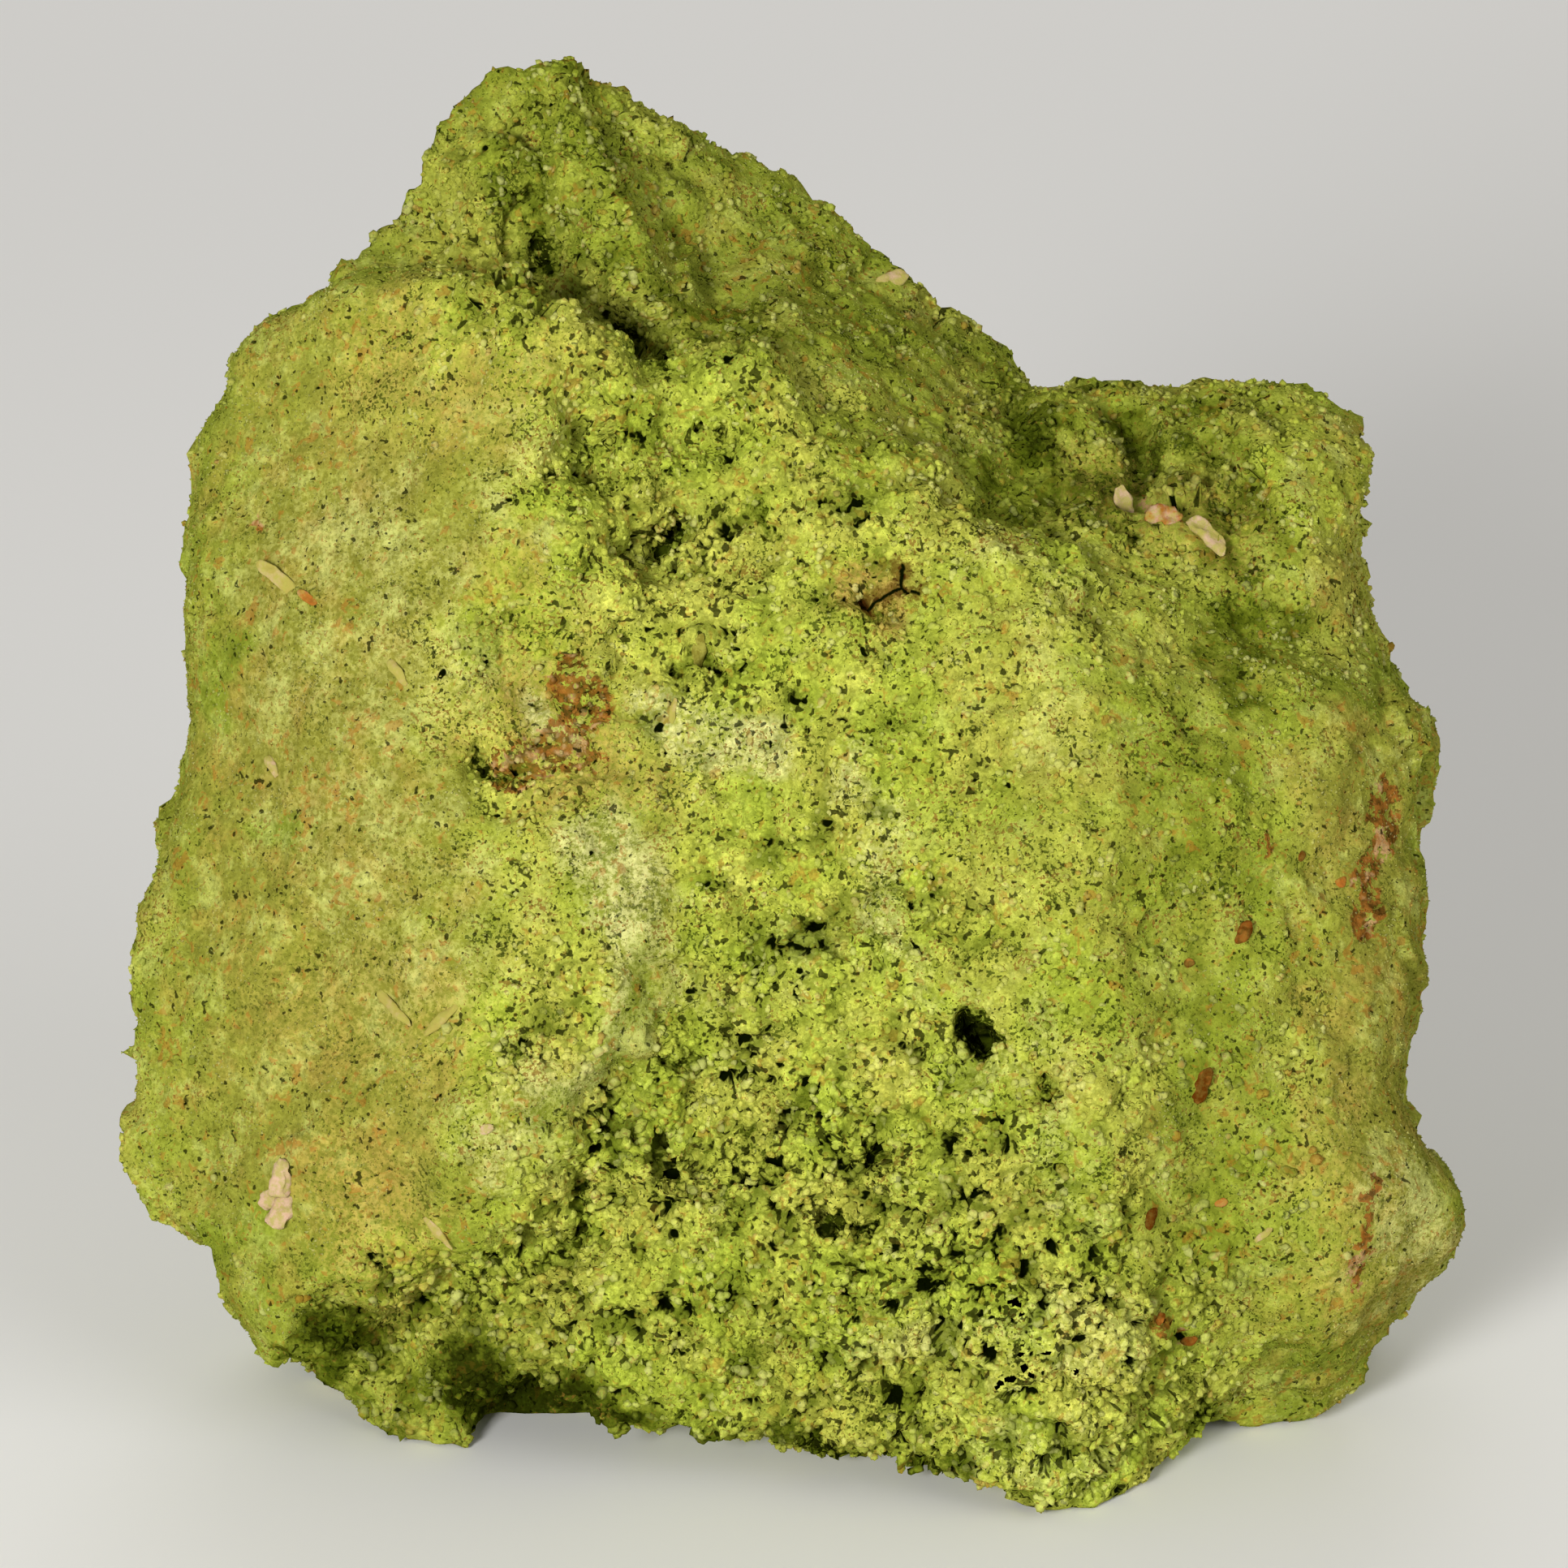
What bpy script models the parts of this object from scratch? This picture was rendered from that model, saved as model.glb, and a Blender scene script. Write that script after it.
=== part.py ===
"""A hand specimen of nontronite: one lump of crumbly, yellow-green, iron-rich clay.

The lump is drawn as seen squarely from in front of its show face. u runs to the right across
that face, v runs up it, and w comes out of it towards the viewer, in drawn millimetres from the
middle of the face. u and v are as they look from VIEW_DISTANCE, and w is the true depth. The
face leans back by FACE_LEAN, because the lump stands on a flat broken base.
"""

import math
from typing import NamedTuple

import bpy
import numpy as np
from mathutils import Vector, noise

# Driving dimensions: the real width, and the rest in drawn millimetres and degrees
WIDTH = 70.0
DRAWN_WIDTH = 70.0
FACE_LEAN = 20.0
VIEW_DISTANCE = 380.0
FLOOR_DROP = 33.4  # from the middle of the face straight down to the flat base
BASE_MIDDLE = (0.5, 3.8)  # the middle of the lump's plan, seen from the middle of the face

# How finely it is worked
RIM_STEPS = 5
RINGS = 34
GRAIN = 0.62
SMOOTH_ROUNDS = 5
MOST_TRIANGLES = 10600
SHEET_EASE = 0.6
SEED = 7.0
TINY = 1e-9  # keeps a logarithm finite
CUTTER = 2.0 * DRAWN_WIDTH  # the block that cuts the base off flat

# The dry clay: its colour, and how dull it is
CLAY_GREEN = (0.37, 0.39, 0.058, 1.0)
DULLNESS = 0.95

MM = 0.001 * WIDTH / DRAWN_WIDTH
SIN_LEAN = math.sin(math.radians(FACE_LEAN))
COS_LEAN = math.cos(math.radians(FACE_LEAN))


class Mass(NamedTuple):
    """A rounded mass: its rim, the sheets that its two sides follow, and how sharp its edges are."""

    name: str
    middle: tuple
    rim: list
    front: list
    back: list
    front_edge: float
    back_edge: float


class Stroke(NamedTuple):
    """A swelling, or a hollow where height is below zero, along a line on the show face."""

    name: str
    points: list
    reach: float
    height: float


# The back of the lump, which every mass in front of it grows out of
BACK_SHEET = [
    (-20, 25, -14), (-10, 32, -14), (0, 26, -17), (-16, 15, -21), (4, 15, -23), (22, 13, -20),
    (-22, 0, -22), (0, 0, -28), (23, 0, -23), (-24, -15, -22), (0, -15, -30), (22, -15, -26),
    (-20, -30, -23), (0, -32, -30), (20, -32, -27),
]

# The peak and the dark slope that falls from it to the right
PEAK_AND_SLOPE = Mass(
    "peak_and_slope",
    (0, -4),
    [
        (-23.7, 26.1, -5), (-22, 28.7, -6), (-19.7, 31.3, -6), (-19, 34.8, -6), (-16.4, 36.9, -6),
        (-13.8, 38.6, -7), (-11.3, 38.6, -8), (-9.6, 36.6, -9), (-6, 34, -10), (-4, 32.8, -11),
        (-2, 32.5, -11), (0.7, 31.4, -11), (3.4, 29.5, -11), (6.5, 27, -11), (8.5, 24.6, -11),
        (11.4, 23, -11), (11.8, 20.7, -12), (15, 17, -13), (22.5, 13.5, -14), (28, 8.5, -15),
        (31.5, 3, -15), (32, -5.5, -15), (31, -14, -15), (31.5, -21.5, -14), (30, -28.5, -14),
        (26.5, -37, -15), (16, -41, -15), (5.5, -41, -15), (-5, -41, -15), (-15.5, -40.5, -15),
        (-22.5, -34, -14), (-27, -26.5, -13), (-32, -18, -12), (-32, -10, -12),
        (-30.5, -1.5, -12), (-29.5, 7, -12), (-29.5, 13, -12), (-28.4, 19.8, -11), (-26.5, 23.9, -9),
    ],
    [
        (-11.5, 36.5, -5), (-14.5, 34, -5), (-17, 32, -5), (-11.5, 32, -2.5), (-15.5, 29.5, -3),
        (-18.5, 28.5, -5), (-21.5, 26, -3), (-9.5, 29.5, -1), (-12, 27, -1), (-7.5, 25.5, -1),
        (-5, 31.5, -6), (-3, 28, -5), (-4.5, 24.5, 0), (-0.5, 28, -7), (-0.5, 23.5, 1),
        (3.5, 23.5, -4), (3.5, 19.5, 3.5), (7.5, 21.5, -5), (7.5, 17, 4), (10.5, 19.5, -6),
        (11.5, 15.5, 2.5), (-10, 10, 0), (10, 0, 0), (-10, -15, 0), (10, -20, -2), (0, -33, -9),
        (-13, -31, -5.5), (-13, -33.5, -6), (-20, -33, -8), (12, -34, -8), (20, -33, -9),
    ],
    BACK_SHEET,
    7.0,
    2.4,
)

# The block at the top right, set well back
BLOCK = Mass(
    "block",
    (22, 10),
    [
        (12, 19, -9), (12.5, 20.7, -10), (15, 20.5, -11), (18, 20.7, -12), (20.5, 20.1, -12),
        (21.5, 20.9, -12), (22.5, 20.8, -12), (23.5, 20.2, -12), (25.5, 20.6, -11),
        (27.8, 19.4, -10), (30.5, 18.1, -9), (31.2, 16.7, -8), (29.6, 15, -8), (29.8, 12.5, -8),
        (30.4, 10.5, -8), (30, 9.5, -8), (30.7, 7, -8), (32.2, 3.5, -9), (31.5, -1.5, -11),
        (22.5, -3.5, -11),
        (14, 0.5, -11), (9, 7, -11), (9, 14.5, -9),
    ],
    [
        (14, 18.5, -4), (16, 19.5, -5), (21.5, 18.5, -4), (26.5, 18, -4), (30, 17, -5),
        (18, 14.5, -1.5), (22.5, 13, 0.5), (26.5, 13, 0.5), (29.5, 11, -1.5), (24.5, 8.5, 2.5),
        (28.5, 7.5, 1), (17.5, 11, 4.5), (14, 14.5, 2), (10.5, 13.5, 3.5), (22, 2, 3),
    ],
    [(14, 18, -18), (28, 16, -18), (20, 8, -23), (28, 2, -22), (18, 0, -24)],
    5.0,
    2.6,
)

# The broad granular mass in the middle, with its crest on top and the right flank beside it
FRONT = Mass(
    "front",
    (2, -6),
    [
        (-22.5, 25.5, 2), (-18.5, 27, 5), (-15, 26, 7), (-11.5, 25, 8), (-8.5, 23, 7),
        (-6.5, 21.5, 6), (-4.5, 22.5, 6), (-2.5, 23, 6), (-0.5, 21.5, 6), (1.5, 19.5, 6),
        (3.5, 17, 6), (6, 15, 6), (10, 14, 6), (14, 13, 4), (18, 11, 2), (23, 8, -1),
        (28, 7.3, -3), (31, 5.9, -4), (32.6, 4, -4), (33.3, 1, -4), (32.9, -4, -4), (32.8, -9, -4),
        (32.3, -12.5, -4), (31.9, -14.7, -4), (32.9, -18, -3), (34.6, -20.5, -1), (35.5, -22.5, 0),
        (34.4, -24.8, -1), (31.8, -27.4, -3), (29.9, -30, -5), (28.4, -31.8, -6), (27.1, -33.9, -7),
        (25, -34.8, -7), (23.2, -32.8, -6), (21.9, -30.6, -5), (21.2, -34.2, -1), (19.6, -35.3, 0),
        (18.2, -37.4, 1), (16.5, -39.5, 2), (13.8, -39.4, 3), (11.5, -36.3, 3), (8.5, -35, 3),
        (4.8, -34.3, 2.5), (-0.7, -33.4, 2), (-5.7, -33.2, 1), (-9, -33.2, 1), (-10.5, -31.8, 1),
        (-12.5, -30.4, 1), (-15, -30.3, 1), (-17, -31, 0), (-19, -29, -1), (-20.5, -22.5, -2),
        (-21.5, -5.5, 0), (-22.5, 11, 0), (-23.5, 23, 0),
    ],
    [
        (-21.5, 26, 5), (-18.5, 26, 6), (-15, 25.5, 8), (-11.5, 24.5, 9), (-9, 23, 8),
        (-7, 20.5, 7), (-3.5, 22, 8), (-0.5, 20.5, 8), (3, 16.5, 8), (6.5, 14, 8),
        (14, 11.5, 7), (18, 10, 6),
        (-8.5, 18.5, 6), (-6, 13, 6), (-5, 7, 7.5), (-3.5, -1.5, 8.5), (-3, -10, 8),
        (-3, -18, 7), (-3, -26.5, 7), (-3, -31, 5.5), (-9, 3, 7.5), (-9, -4, 8), (-9, -18, 6.3),
        (-12, -26, 4.5),
        (3.5, 7, 9), (5.5, -1.5, 10), (7.5, -10, 10.5), (7.5, -18, 10.5), (7.5, -26.5, 9.5),
        (7.5, -32, 6),
        (15, 8.5, 9), (15, 3, 11), (15.5, -5.5, 12), (16, -14, 12), (16, -20.5, 11.5),
        (15.5, -26.5, 10.5), (15, -33, 8.5),
        (20.5, 3, 9), (24, 3, 7.5), (28.5, 3, 5.5), (31.5, 2, 3), (20.5, -10, 10),
        (24, -10, 8.5), (28, -10, 7), (31.5, -10, 4.5), (20.5, -22.5, 9), (24, -22.5, 8),
        (28, -22.5, 7), (31, -22.5, 5.5), (33.5, -22.5, 3), (22.5, -29, 5), (27, -29, 3),
        (-17, -29, 2.5), (-13, -29, 4), (-6, -32.5, 4), (-0.5, -33.5, 4.5), (5, -34.5, 5),
        (11, -35.5, 5.5), (15, -37.5, 5), (18, -35.5, 4), (21, -33.5, 1),
        (23.5, -33, -4), (27.5, -33, -5),
        (-17, 18, 3), (-17, 0, 3), (-16, -18, 2),
    ],
    [(0, 0, -18), (20, 0, -16), (0, -25, -18), (20, -25, -18), (-15, 0, -14), (-15, -25, -14)],
    7.0,
    2.0,
)

# The smooth dusty lobe on the left
LEFT_LOBE = Mass(
    "left_lobe",
    (-20, -1),
    [
        (-24.5, 25, 1), (-21.5, 26.5, 3), (-18.5, 27, 5), (-15.5, 26, 6), (-12.5, 25, 6),
        (-10.5, 22.5, 6), (-10.5, 19.5, 6), (-11, 16, 6), (-8, 11.5, 5), (-4.5, 8, 4),
        (-3, 1, 4), (-2, -6, 4), (-4.5, -11, 4), (-9, -15.5, 4.5), (-11, -19, 4),
        (-13, -22.5, 3), (-16.5, -24.7, 2), (-20.5, -26.8, 1), (-23.5, -29.3, -1),
        (-25.9, -30.6, -2), (-27.5, -29.2, -3), (-29, -26, -4), (-29.6, -23.8, -4),
        (-31.5, -23, -4), (-33.2, -21.9, -5), (-35, -19.8, -5), (-36.7, -16, -5),
        (-36.7, -13, -5), (-34.5, -9, -4), (-32.6, -4.5, -4), (-31.6, -1, -4), (-30.5, 3, -4),
        (-30.9, 7, -4), (-30.4, 13, -4), (-29.7, 16.7, -4), (-28.7, 20.5, -4),
        (-27.4, 23.3, -3),
    ],
    [
        (-24.5, 20.5, 2), (-19.5, 23, 5), (-14.5, 23, 7.5), (-12, 18.5, 8.5), (-11.5, 13.5, 8.5),
        (-19.5, 13, 6.5), (-26.5, 13, 2), (-17, 6, 7), (-13, 3.5, 7.8), (-9, 7, 8.3), (-5, 4, 6),
        (-23, 3.5, 5.5), (-28, 3, 2), (-19.5, -3.5, 7), (-26, -5, 4), (-30.5, -5.5, 0),
        (-12, -5, 9), (-8, -7, 9), (-4, -4, 6.5), (-4, -9, 6.5),
        (-18, -12, 7.5), (-23.5, -12, 5), (-30, -13, 1),
        (-10.5, -12.5, 9.5), (-14.5, -18, 9.1), (-19.5, -20, 7), (-24.5, -20, 5), (-30, -19.5, 1),
        (-33, -17.5, -2), (-17, -22.5, 7.5), (-21.5, -25, 6), (-26, -25.5, 4), (-25.5, -28.5, 2.5),
    ],
    [(-20, 15, -14), (-24, -8, -16), (-18, -10, -16), (-24, -20, -12)],
    6.0,
    2.2,
)

# The foot under the left lobe
LEFT_FOOT = Mass(
    "left_foot",
    (-18.5, -31),
    [
        (-24, -28, -5), (-24.2, -30.2, -6), (-22.1, -32.3, -7), (-20, -35.3, -7), (-17, -36, -7),
        (-15.9, -33.2, -6), (-14, -31, -4), (-13, -27.5, -3), (-17, -26, -2), (-21, -26.5, -4),
    ],
    [(-18.5, -34.2, -2.6), (-21, -31.5, -3), (-17.5, -31.5, 0), (-17.5, -28.5, 1.5), (-20.5, -29, -1)],
    [(-19, -31, -16), (-22, -30, -15), (-16, -31, -16)],
    4.0,
    2.0,
)

MASSES = [PEAK_AND_SLOPE, BLOCK, FRONT, LEFT_LOBE, LEFT_FOOT]

RELIEF = [
    Stroke("rusty hollow of the left lobe", [(-13, 7), (-11.5, 1.5)], 3.6, -1.8),
    Stroke("its sharp lower corner", [(-16, 2.5), (-15, 0.5)], 1.7, -1.4),
    Stroke(
        "dusty edge of the left lobe",
        [(-13.5, 20.5), (-13, 13.5), (-9.5, 7.5), (-8.5, 0.5), (-7.5, -7.5)],
        2.9,
        0.6,
    ),
    Stroke("grey hollow low on the left lobe", [(-23.5, -10), (-25, -17)], 4.6, -0.7),
    Stroke("pale shoulder over the toe", [(-15.5, -16.5), (-17, -21)], 3.4, 0.6),
    Stroke("side hollow of the left lobe", [(-28.5, 5.5), (-29, 3)], 2.1, -0.5),
    Stroke("dip over the toe", [(-26.5, -23.5), (-18.5, -22.5)], 1.9, -0.5),
    Stroke("pit beside the crest", [(-10.5, 19.5), (-9.5, 16.5)], 2.5, -2.2),
    Stroke("small pit on the lobe edge", [(-12, 16.5), (-12, 15.5)], 1.3, -1.0),
    Stroke("pit under the crest", [(-5, 18), (-3.5, 18.5)], 2.1, -1.4),
    Stroke("rib between the pits", [(-7.5, 20.5), (-7, 14.5)], 2.1, 0.8),
    Stroke("upper valley slot", [(-5.5, 14), (-6.5, 11.5)], 1.7, -1.8),
    Stroke("granular hump", [(-3, 8.5), (-0.5, 7)], 3.8, 0.9),
    Stroke("arc beside the hump", [(-4, 8), (-4, 5.5)], 1.2, -1.0),
    Stroke("pale streak from the crest", [(-0.5, 16), (1.5, 13), (3, 9)], 1.9, 0.7),
    Stroke("spur down the middle", [(4, 1.5), (5, -5), (6, -10.5), (10.5, -11.5)], 2.5, 0.9),
    Stroke("hollow right of the spur", [(9, -5), (10, -8)], 2.9, -0.7),
    Stroke("deep pit", [(10, -13.5)], 1.6, -2.8),
    Stroke("pit beside the ridge", [(13.5, -15), (14, -17.5)], 1.5, -1.4),
    Stroke("three armed crack", [(4.5, 9.5), (6.5, 10.5)], 1.5, -0.6),
    Stroke("ridge beside the flank", [(13.5, 10.5), (15, 3), (15.5, -10), (16, -21.5)], 2.9, 0.5),
    Stroke("trough down the right flank", [(20, 3.5), (20.5, -10), (22, -26.5)], 3.4, -0.6),
    Stroke("right hip", [(32.5, -21.5), (29, -26.5)], 5.0, 0.8),
    Stroke("crumbled hollow of the apron", [(-6.5, -18), (-1.5, -17), (4, -19)], 3.1, -1.3),
    Stroke("lower crumbled hollow", [(2, -23), (5, -23)], 2.3, -1.2),
    Stroke("apron swelling", [(9, -27.5), (15, -30.5)], 4.6, 0.9),
    Stroke("dip in the apron", [(-3, -26), (-0.5, -31)], 2.5, -0.9),
    Stroke("apron swelling on the left", [(-8.5, -25), (-11, -28)], 3.4, 0.7),
    Stroke("dip above the front foot", [(10, -32.5), (7, -30.5)], 2.1, -0.8),
    Stroke("shadow under the lobe", [(-17, -25.5), (-13.5, -25.5), (-10.5, -23.5)], 1.7, -1.8),
    Stroke("slot under the toe", [(-24.5, -28.5), (-22, -28), (-17, -26.5)], 1.7, -2.2),
    Stroke("cavity under the toe", [(-23.4, -27.6), (-22.6, -28)], 1.6, -1.4),
    Stroke("crack between toe and foot", [(-21, -30.5), (-19.5, -29)], 1.5, -1.5),
    Stroke("crevice behind the crest on the left", [(-21, 27), (-18.5, 27)], 1.0, -1.2),
    Stroke("crevice at the foot of the peak", [(-13, 28), (-12.5, 26)], 1.3, -1.6),
    Stroke("crevice behind the crest", [(-10.5, 25.5), (-8, 23.5), (-6, 22)], 1.5, -2.5),
    Stroke("hollow in the dark slope", [(-3.5, 27.5), (-3.5, 25)], 2.9, -1.4),
    Stroke("rib of the peak", [(-11.5, 36.5), (-11, 32.5), (-9.5, 30), (-7.5, 25)], 2.5, 1.2),
    Stroke("hollow left of the rib", [(-13.5, 30), (-13, 28.5)], 2.3, -1.2),
    Stroke("valley behind the crest", [(-3, 23), (4, 18.5), (9, 16)], 2.5, -1.0),
    Stroke("bulge of the dark slope", [(5, 24.5), (7.5, 22)], 3.4, 0.9),
    Stroke("hollow left of the block", [(11.5, 18), (12, 17)], 2.3, -1.8),
    Stroke("hollow of the block", [(18, 19), (18, 16)], 2.3, -2.4),
    Stroke("hollow right of the block", [(23, 17.5), (22.5, 16)], 2.1, -1.6),
    Stroke("ledge of the cream chips", [(16.5, 15.5), (22.5, 13)], 1.9, 0.5),
    Stroke("slot over the ledge", [(18, 13.5), (20, 13.5)], 1.3, -1.4),
    Stroke("left lump of the block", [(13.5, 19.5), (16, 18.5)], 1.9, 0.9),
    Stroke("middle lump of the block", [(21, 18)], 2.3, 1.2),
    Stroke("right lump of the block", [(26, 16.5), (28.5, 16)], 3.4, 0.9),
    Stroke("faint valley of the right edge", [(21.5, 7.5), (30.5, 7.5)], 2.5, -1.0),
    Stroke("notch of the right edge", [(32.5, -15)], 2.1, -0.8),
]

# Flat broken faces round the back: which way each one looks, and how far out it lies
BREAKS = [
    ((0.45, 0.87, 0.10), 22.5),
    ((-0.60, 0.75, 0.10), 22.0),
    ((-0.15, 0.85, 0.50), 29.0),
    ((0.10, 0.92, -0.38), 22.0),
    ((0.95, 0.30, 0.10), 32.0),
    ((-0.93, 0.32, -0.15), 31.0),
]
BREAK_HEART = (0.0, 4.0, 32.0)
BREAK_SHARE = 0.85  # how nearly flat a broken face is

# How softly a swelling or hollow runs out, how far its edges waver, and over what length
RUN_OUT = 2.0
WAVER = 1.3
WAVER_SIZE = 3.5

# How squarely the surface looks at the viewer where a change begins, and where it is full
RELIEF_FACING = (-0.1, 0.3)
LUMP_FACING = (-0.6, 0.0)

# Lumps of the broken clay: size across, height on the show face, height on the rest
LUMPS = [(10.0, 0.5, 1.6), (5.0, 0.6, 1.0), (2.6, 0.5, 0.6)]


def place(u, v, w):
    """The point, in drawn millimetres above the middle of the base, that is seen at u and v."""
    nearer = 1.0 - w / VIEW_DISTANCE
    across = u * nearer
    up = v * nearer
    y = up * SIN_LEAN - w * COS_LEAN
    z = up * COS_LEAN + w * SIN_LEAN
    return across - BASE_MIDDLE[0], y - BASE_MIDDLE[1], z + FLOOR_DROP


def seen(points):
    """The u and v at which each point is seen: the inverse of place."""
    x = points[:, 0] + BASE_MIDDLE[0]
    y = points[:, 1] + BASE_MIDDLE[1]
    z = points[:, 2] - FLOOR_DROP
    w = z * SIN_LEAN - y * COS_LEAN
    nearer = 1.0 - w / VIEW_DISTANCE
    return x / nearer, (y * SIN_LEAN + z * COS_LEAN) / nearer


def closed_curve(points, steps):
    """A smooth closed curve through the points, as rows of coordinates."""
    knots = np.array(points, float)
    before = np.roll(knots, 1, axis=0)
    after = np.roll(knots, -1, axis=0)
    beyond = np.roll(knots, -2, axis=0)
    rows = []
    for t in np.arange(steps) / steps:
        rows.append(
            0.5
            * (
                2 * knots
                + (after - before) * t
                + (2 * before - 5 * knots + 4 * after - beyond) * t**2
                + (3 * knots - before - 3 * after + beyond) * t**3
            )
        )
    return np.stack(rows, axis=1).reshape(-1, knots.shape[1])


def sheet(spots):
    """A function that gives the depth, at any u and v, of a thin plate bent through the spots."""
    spots = np.array(spots, float)
    places = spots[:, :2]
    count = len(spots)

    def bend(here):
        away = np.linalg.norm(here[:, None, :] - places[None, :, :], axis=2) + TINY
        return away**2 * np.log(away)

    flat = np.column_stack([np.ones(count), places])
    system = np.zeros((count + 3, count + 3))
    system[:count, :count] = bend(places) + SHEET_EASE * np.eye(count)
    system[:count, count:] = flat
    system[count:, :count] = flat.T
    weights = np.linalg.solve(system, np.append(spots[:, 2], [0.0, 0.0, 0.0]))

    def depth(here):
        plane = np.column_stack([np.ones(len(here)), here])
        return bend(here) @ weights[:count] + plane @ weights[count:]

    return depth


def side_rings(mass, rim, spots, edge):
    """The rings of points on one side of a mass, from beside its middle out to its rim."""
    depth = sheet(spots)
    middle = np.array(mass.middle, float)
    rings = []
    for ring in range(1, RINGS + 1):
        share = math.sin(0.5 * math.pi * ring / RINGS)
        here = middle + (rim[:, :2] - middle) * share
        rise = (1.0 - share**edge) ** (1.0 / edge)
        rings.append(np.column_stack([here, rim[:, 2] + (depth(here) - rim[:, 2]) * rise]))
    centre = np.array([[*middle, depth(middle[None, :])[0]]])
    return rings, centre


def add_mass(mass):
    """The mass as a closed mesh object: two domed sides that share one rim."""
    rim = closed_curve(mass.rim, RIM_STEPS)
    count = len(rim)
    front, front_centre = side_rings(mass, rim, mass.front, mass.front_edge)
    back, back_centre = side_rings(mass, rim, mass.back, mass.back_edge)
    points = np.concatenate([front_centre, *front, *back[:-1][::-1], back_centre])
    last = len(points) - 1
    faces = []
    bands = (last - 1) // count
    for i in range(count):
        j = (i + 1) % count
        faces.append((0, 1 + i, 1 + j))
        for band in range(bands - 1):
            inner = 1 + band * count
            outer = inner + count
            faces.append((inner + i, outer + i, outer + j, inner + j))
        faces.append((last, last - count + j, last - count + i))
    mesh = bpy.data.meshes.new(mass.name)
    mesh.from_pydata([[c * MM for c in place(*p)] for p in points], [], faces)
    obj = bpy.data.objects.new(mass.name, mesh)
    bpy.context.collection.objects.link(obj)
    return obj


def pick(obj):
    """Makes obj the only one that is selected, and the active one."""
    bpy.ops.object.select_all(action="DESELECT")
    obj.select_set(True)
    bpy.context.view_layer.objects.active = obj


def apply(obj, kind, **values):
    """Adds a modifier of this kind, sets its values and applies it."""
    modifier = obj.modifiers.new(kind.title(), kind)
    for name, value in values.items():
        setattr(modifier, name, value)
    pick(obj)
    bpy.ops.object.modifier_apply(modifier=modifier.name)


def grow_together(objects, name):
    """Joins the masses and grows one skin round them all."""
    pick(objects[0])
    for obj in objects:
        obj.select_set(True)
    bpy.ops.object.join()
    lump = bpy.context.view_layer.objects.active
    lump.name = name
    lump.data.name = name
    pick(lump)
    bpy.ops.object.mode_set(mode="EDIT")
    bpy.ops.mesh.select_all(action="SELECT")
    bpy.ops.mesh.normals_make_consistent(inside=False)
    bpy.ops.object.mode_set(mode="OBJECT")
    apply(lump, "REMESH", mode="VOXEL", voxel_size=GRAIN * MM)
    apply(lump, "SMOOTH", factor=0.5, iterations=SMOOTH_ROUNDS)
    return lump


def read(obj):
    """The object's points, in drawn millimetres, and its outward directions."""
    count = len(obj.data.vertices)
    points = np.empty(count * 3)
    outward = np.empty(count * 3)
    obj.data.vertices.foreach_get("co", points)
    obj.data.vertices.foreach_get("normal", outward)
    return points.reshape(-1, 3) / MM, outward.reshape(-1, 3)


def write(obj, points):
    obj.data.vertices.foreach_set("co", (points * MM).ravel())
    obj.data.update()


def show_share(outward, least, most):
    """1 where the surface looks at the viewer by most or more, fading to 0 at least."""
    facing = outward @ np.array([0.0, -COS_LEAN, SIN_LEAN])
    return np.clip((facing - least) / (most - least), 0.0, 1.0)


def away_from_line(u, v, points):
    """How far each u and v is from a line through the points."""
    nearest = np.hypot(u - points[0][0], v - points[0][1])
    for (u0, v0), (u1, v1) in zip(points, points[1:]):
        run, rise = u1 - u0, v1 - v0
        along = ((u - u0) * run + (v - v0) * rise) / (run**2 + rise**2)
        along = np.clip(along, 0.0, 1.0)
        nearest = np.minimum(nearest, np.hypot(u - u0 - run * along, v - v0 - rise * along))
    return nearest


def break_back(obj):
    """Flattens the rounded back into broken faces."""
    points, _ = read(obj)
    for direction, distance in BREAKS:
        direction = np.array(Vector(direction).normalized())
        past = (points - np.array(BREAK_HEART)) @ direction - distance
        points -= np.outer(np.maximum(past, 0.0) * BREAK_SHARE, direction)
    write(obj, points)


def raise_relief(obj):
    """Raises the swellings of the show face and sinks its hollows."""
    points, outward = read(obj)
    u, v = seen(points)
    waver = np.array([noise.noise_vector(Vector(p) / WAVER_SIZE) for p in points])
    u = u + WAVER * waver[:, 0]
    v = v + WAVER * waver[:, 2]
    height = np.zeros(len(points))
    for stroke in RELIEF:
        near = np.clip(1.0 - (away_from_line(u, v, stroke.points) / stroke.reach) ** 2, 0.0, 1.0)
        height += stroke.height * near**RUN_OUT
    height *= show_share(outward, *RELIEF_FACING)
    points += np.outer(height, [0.0, -COS_LEAN, SIN_LEAN])
    write(obj, points)


def raise_lumps(obj):
    """Roughens the whole surface with the lumps of broken clay."""
    points, outward = read(obj)
    shown = show_share(outward, *LUMP_FACING)
    height = np.zeros(len(points))
    for size, front, rest in LUMPS:
        shift = Vector((SEED, size, -SEED))
        values = [noise.noise(Vector(p) / size + shift) for p in points]
        height += np.array(values) * (front * shown + rest * (1.0 - shown))
    write(obj, points + outward * height[:, None])


def thin_out(obj):
    """Leaves as few triangles as still hold the shape."""
    apply(obj, "TRIANGULATE")
    share = MOST_TRIANGLES / len(obj.data.polygons)
    apply(obj, "DECIMATE", ratio=min(1.0, share))


def cut_base(obj):
    """Cuts the lump off flat where it stands."""
    size = CUTTER * MM
    bpy.ops.mesh.primitive_cube_add(size=size, location=(0.0, 0.0, -0.5 * size))
    cutter = bpy.context.active_object
    apply(obj, "BOOLEAN", object=cutter, operation="DIFFERENCE", solver="EXACT")
    bpy.data.objects.remove(cutter)


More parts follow.
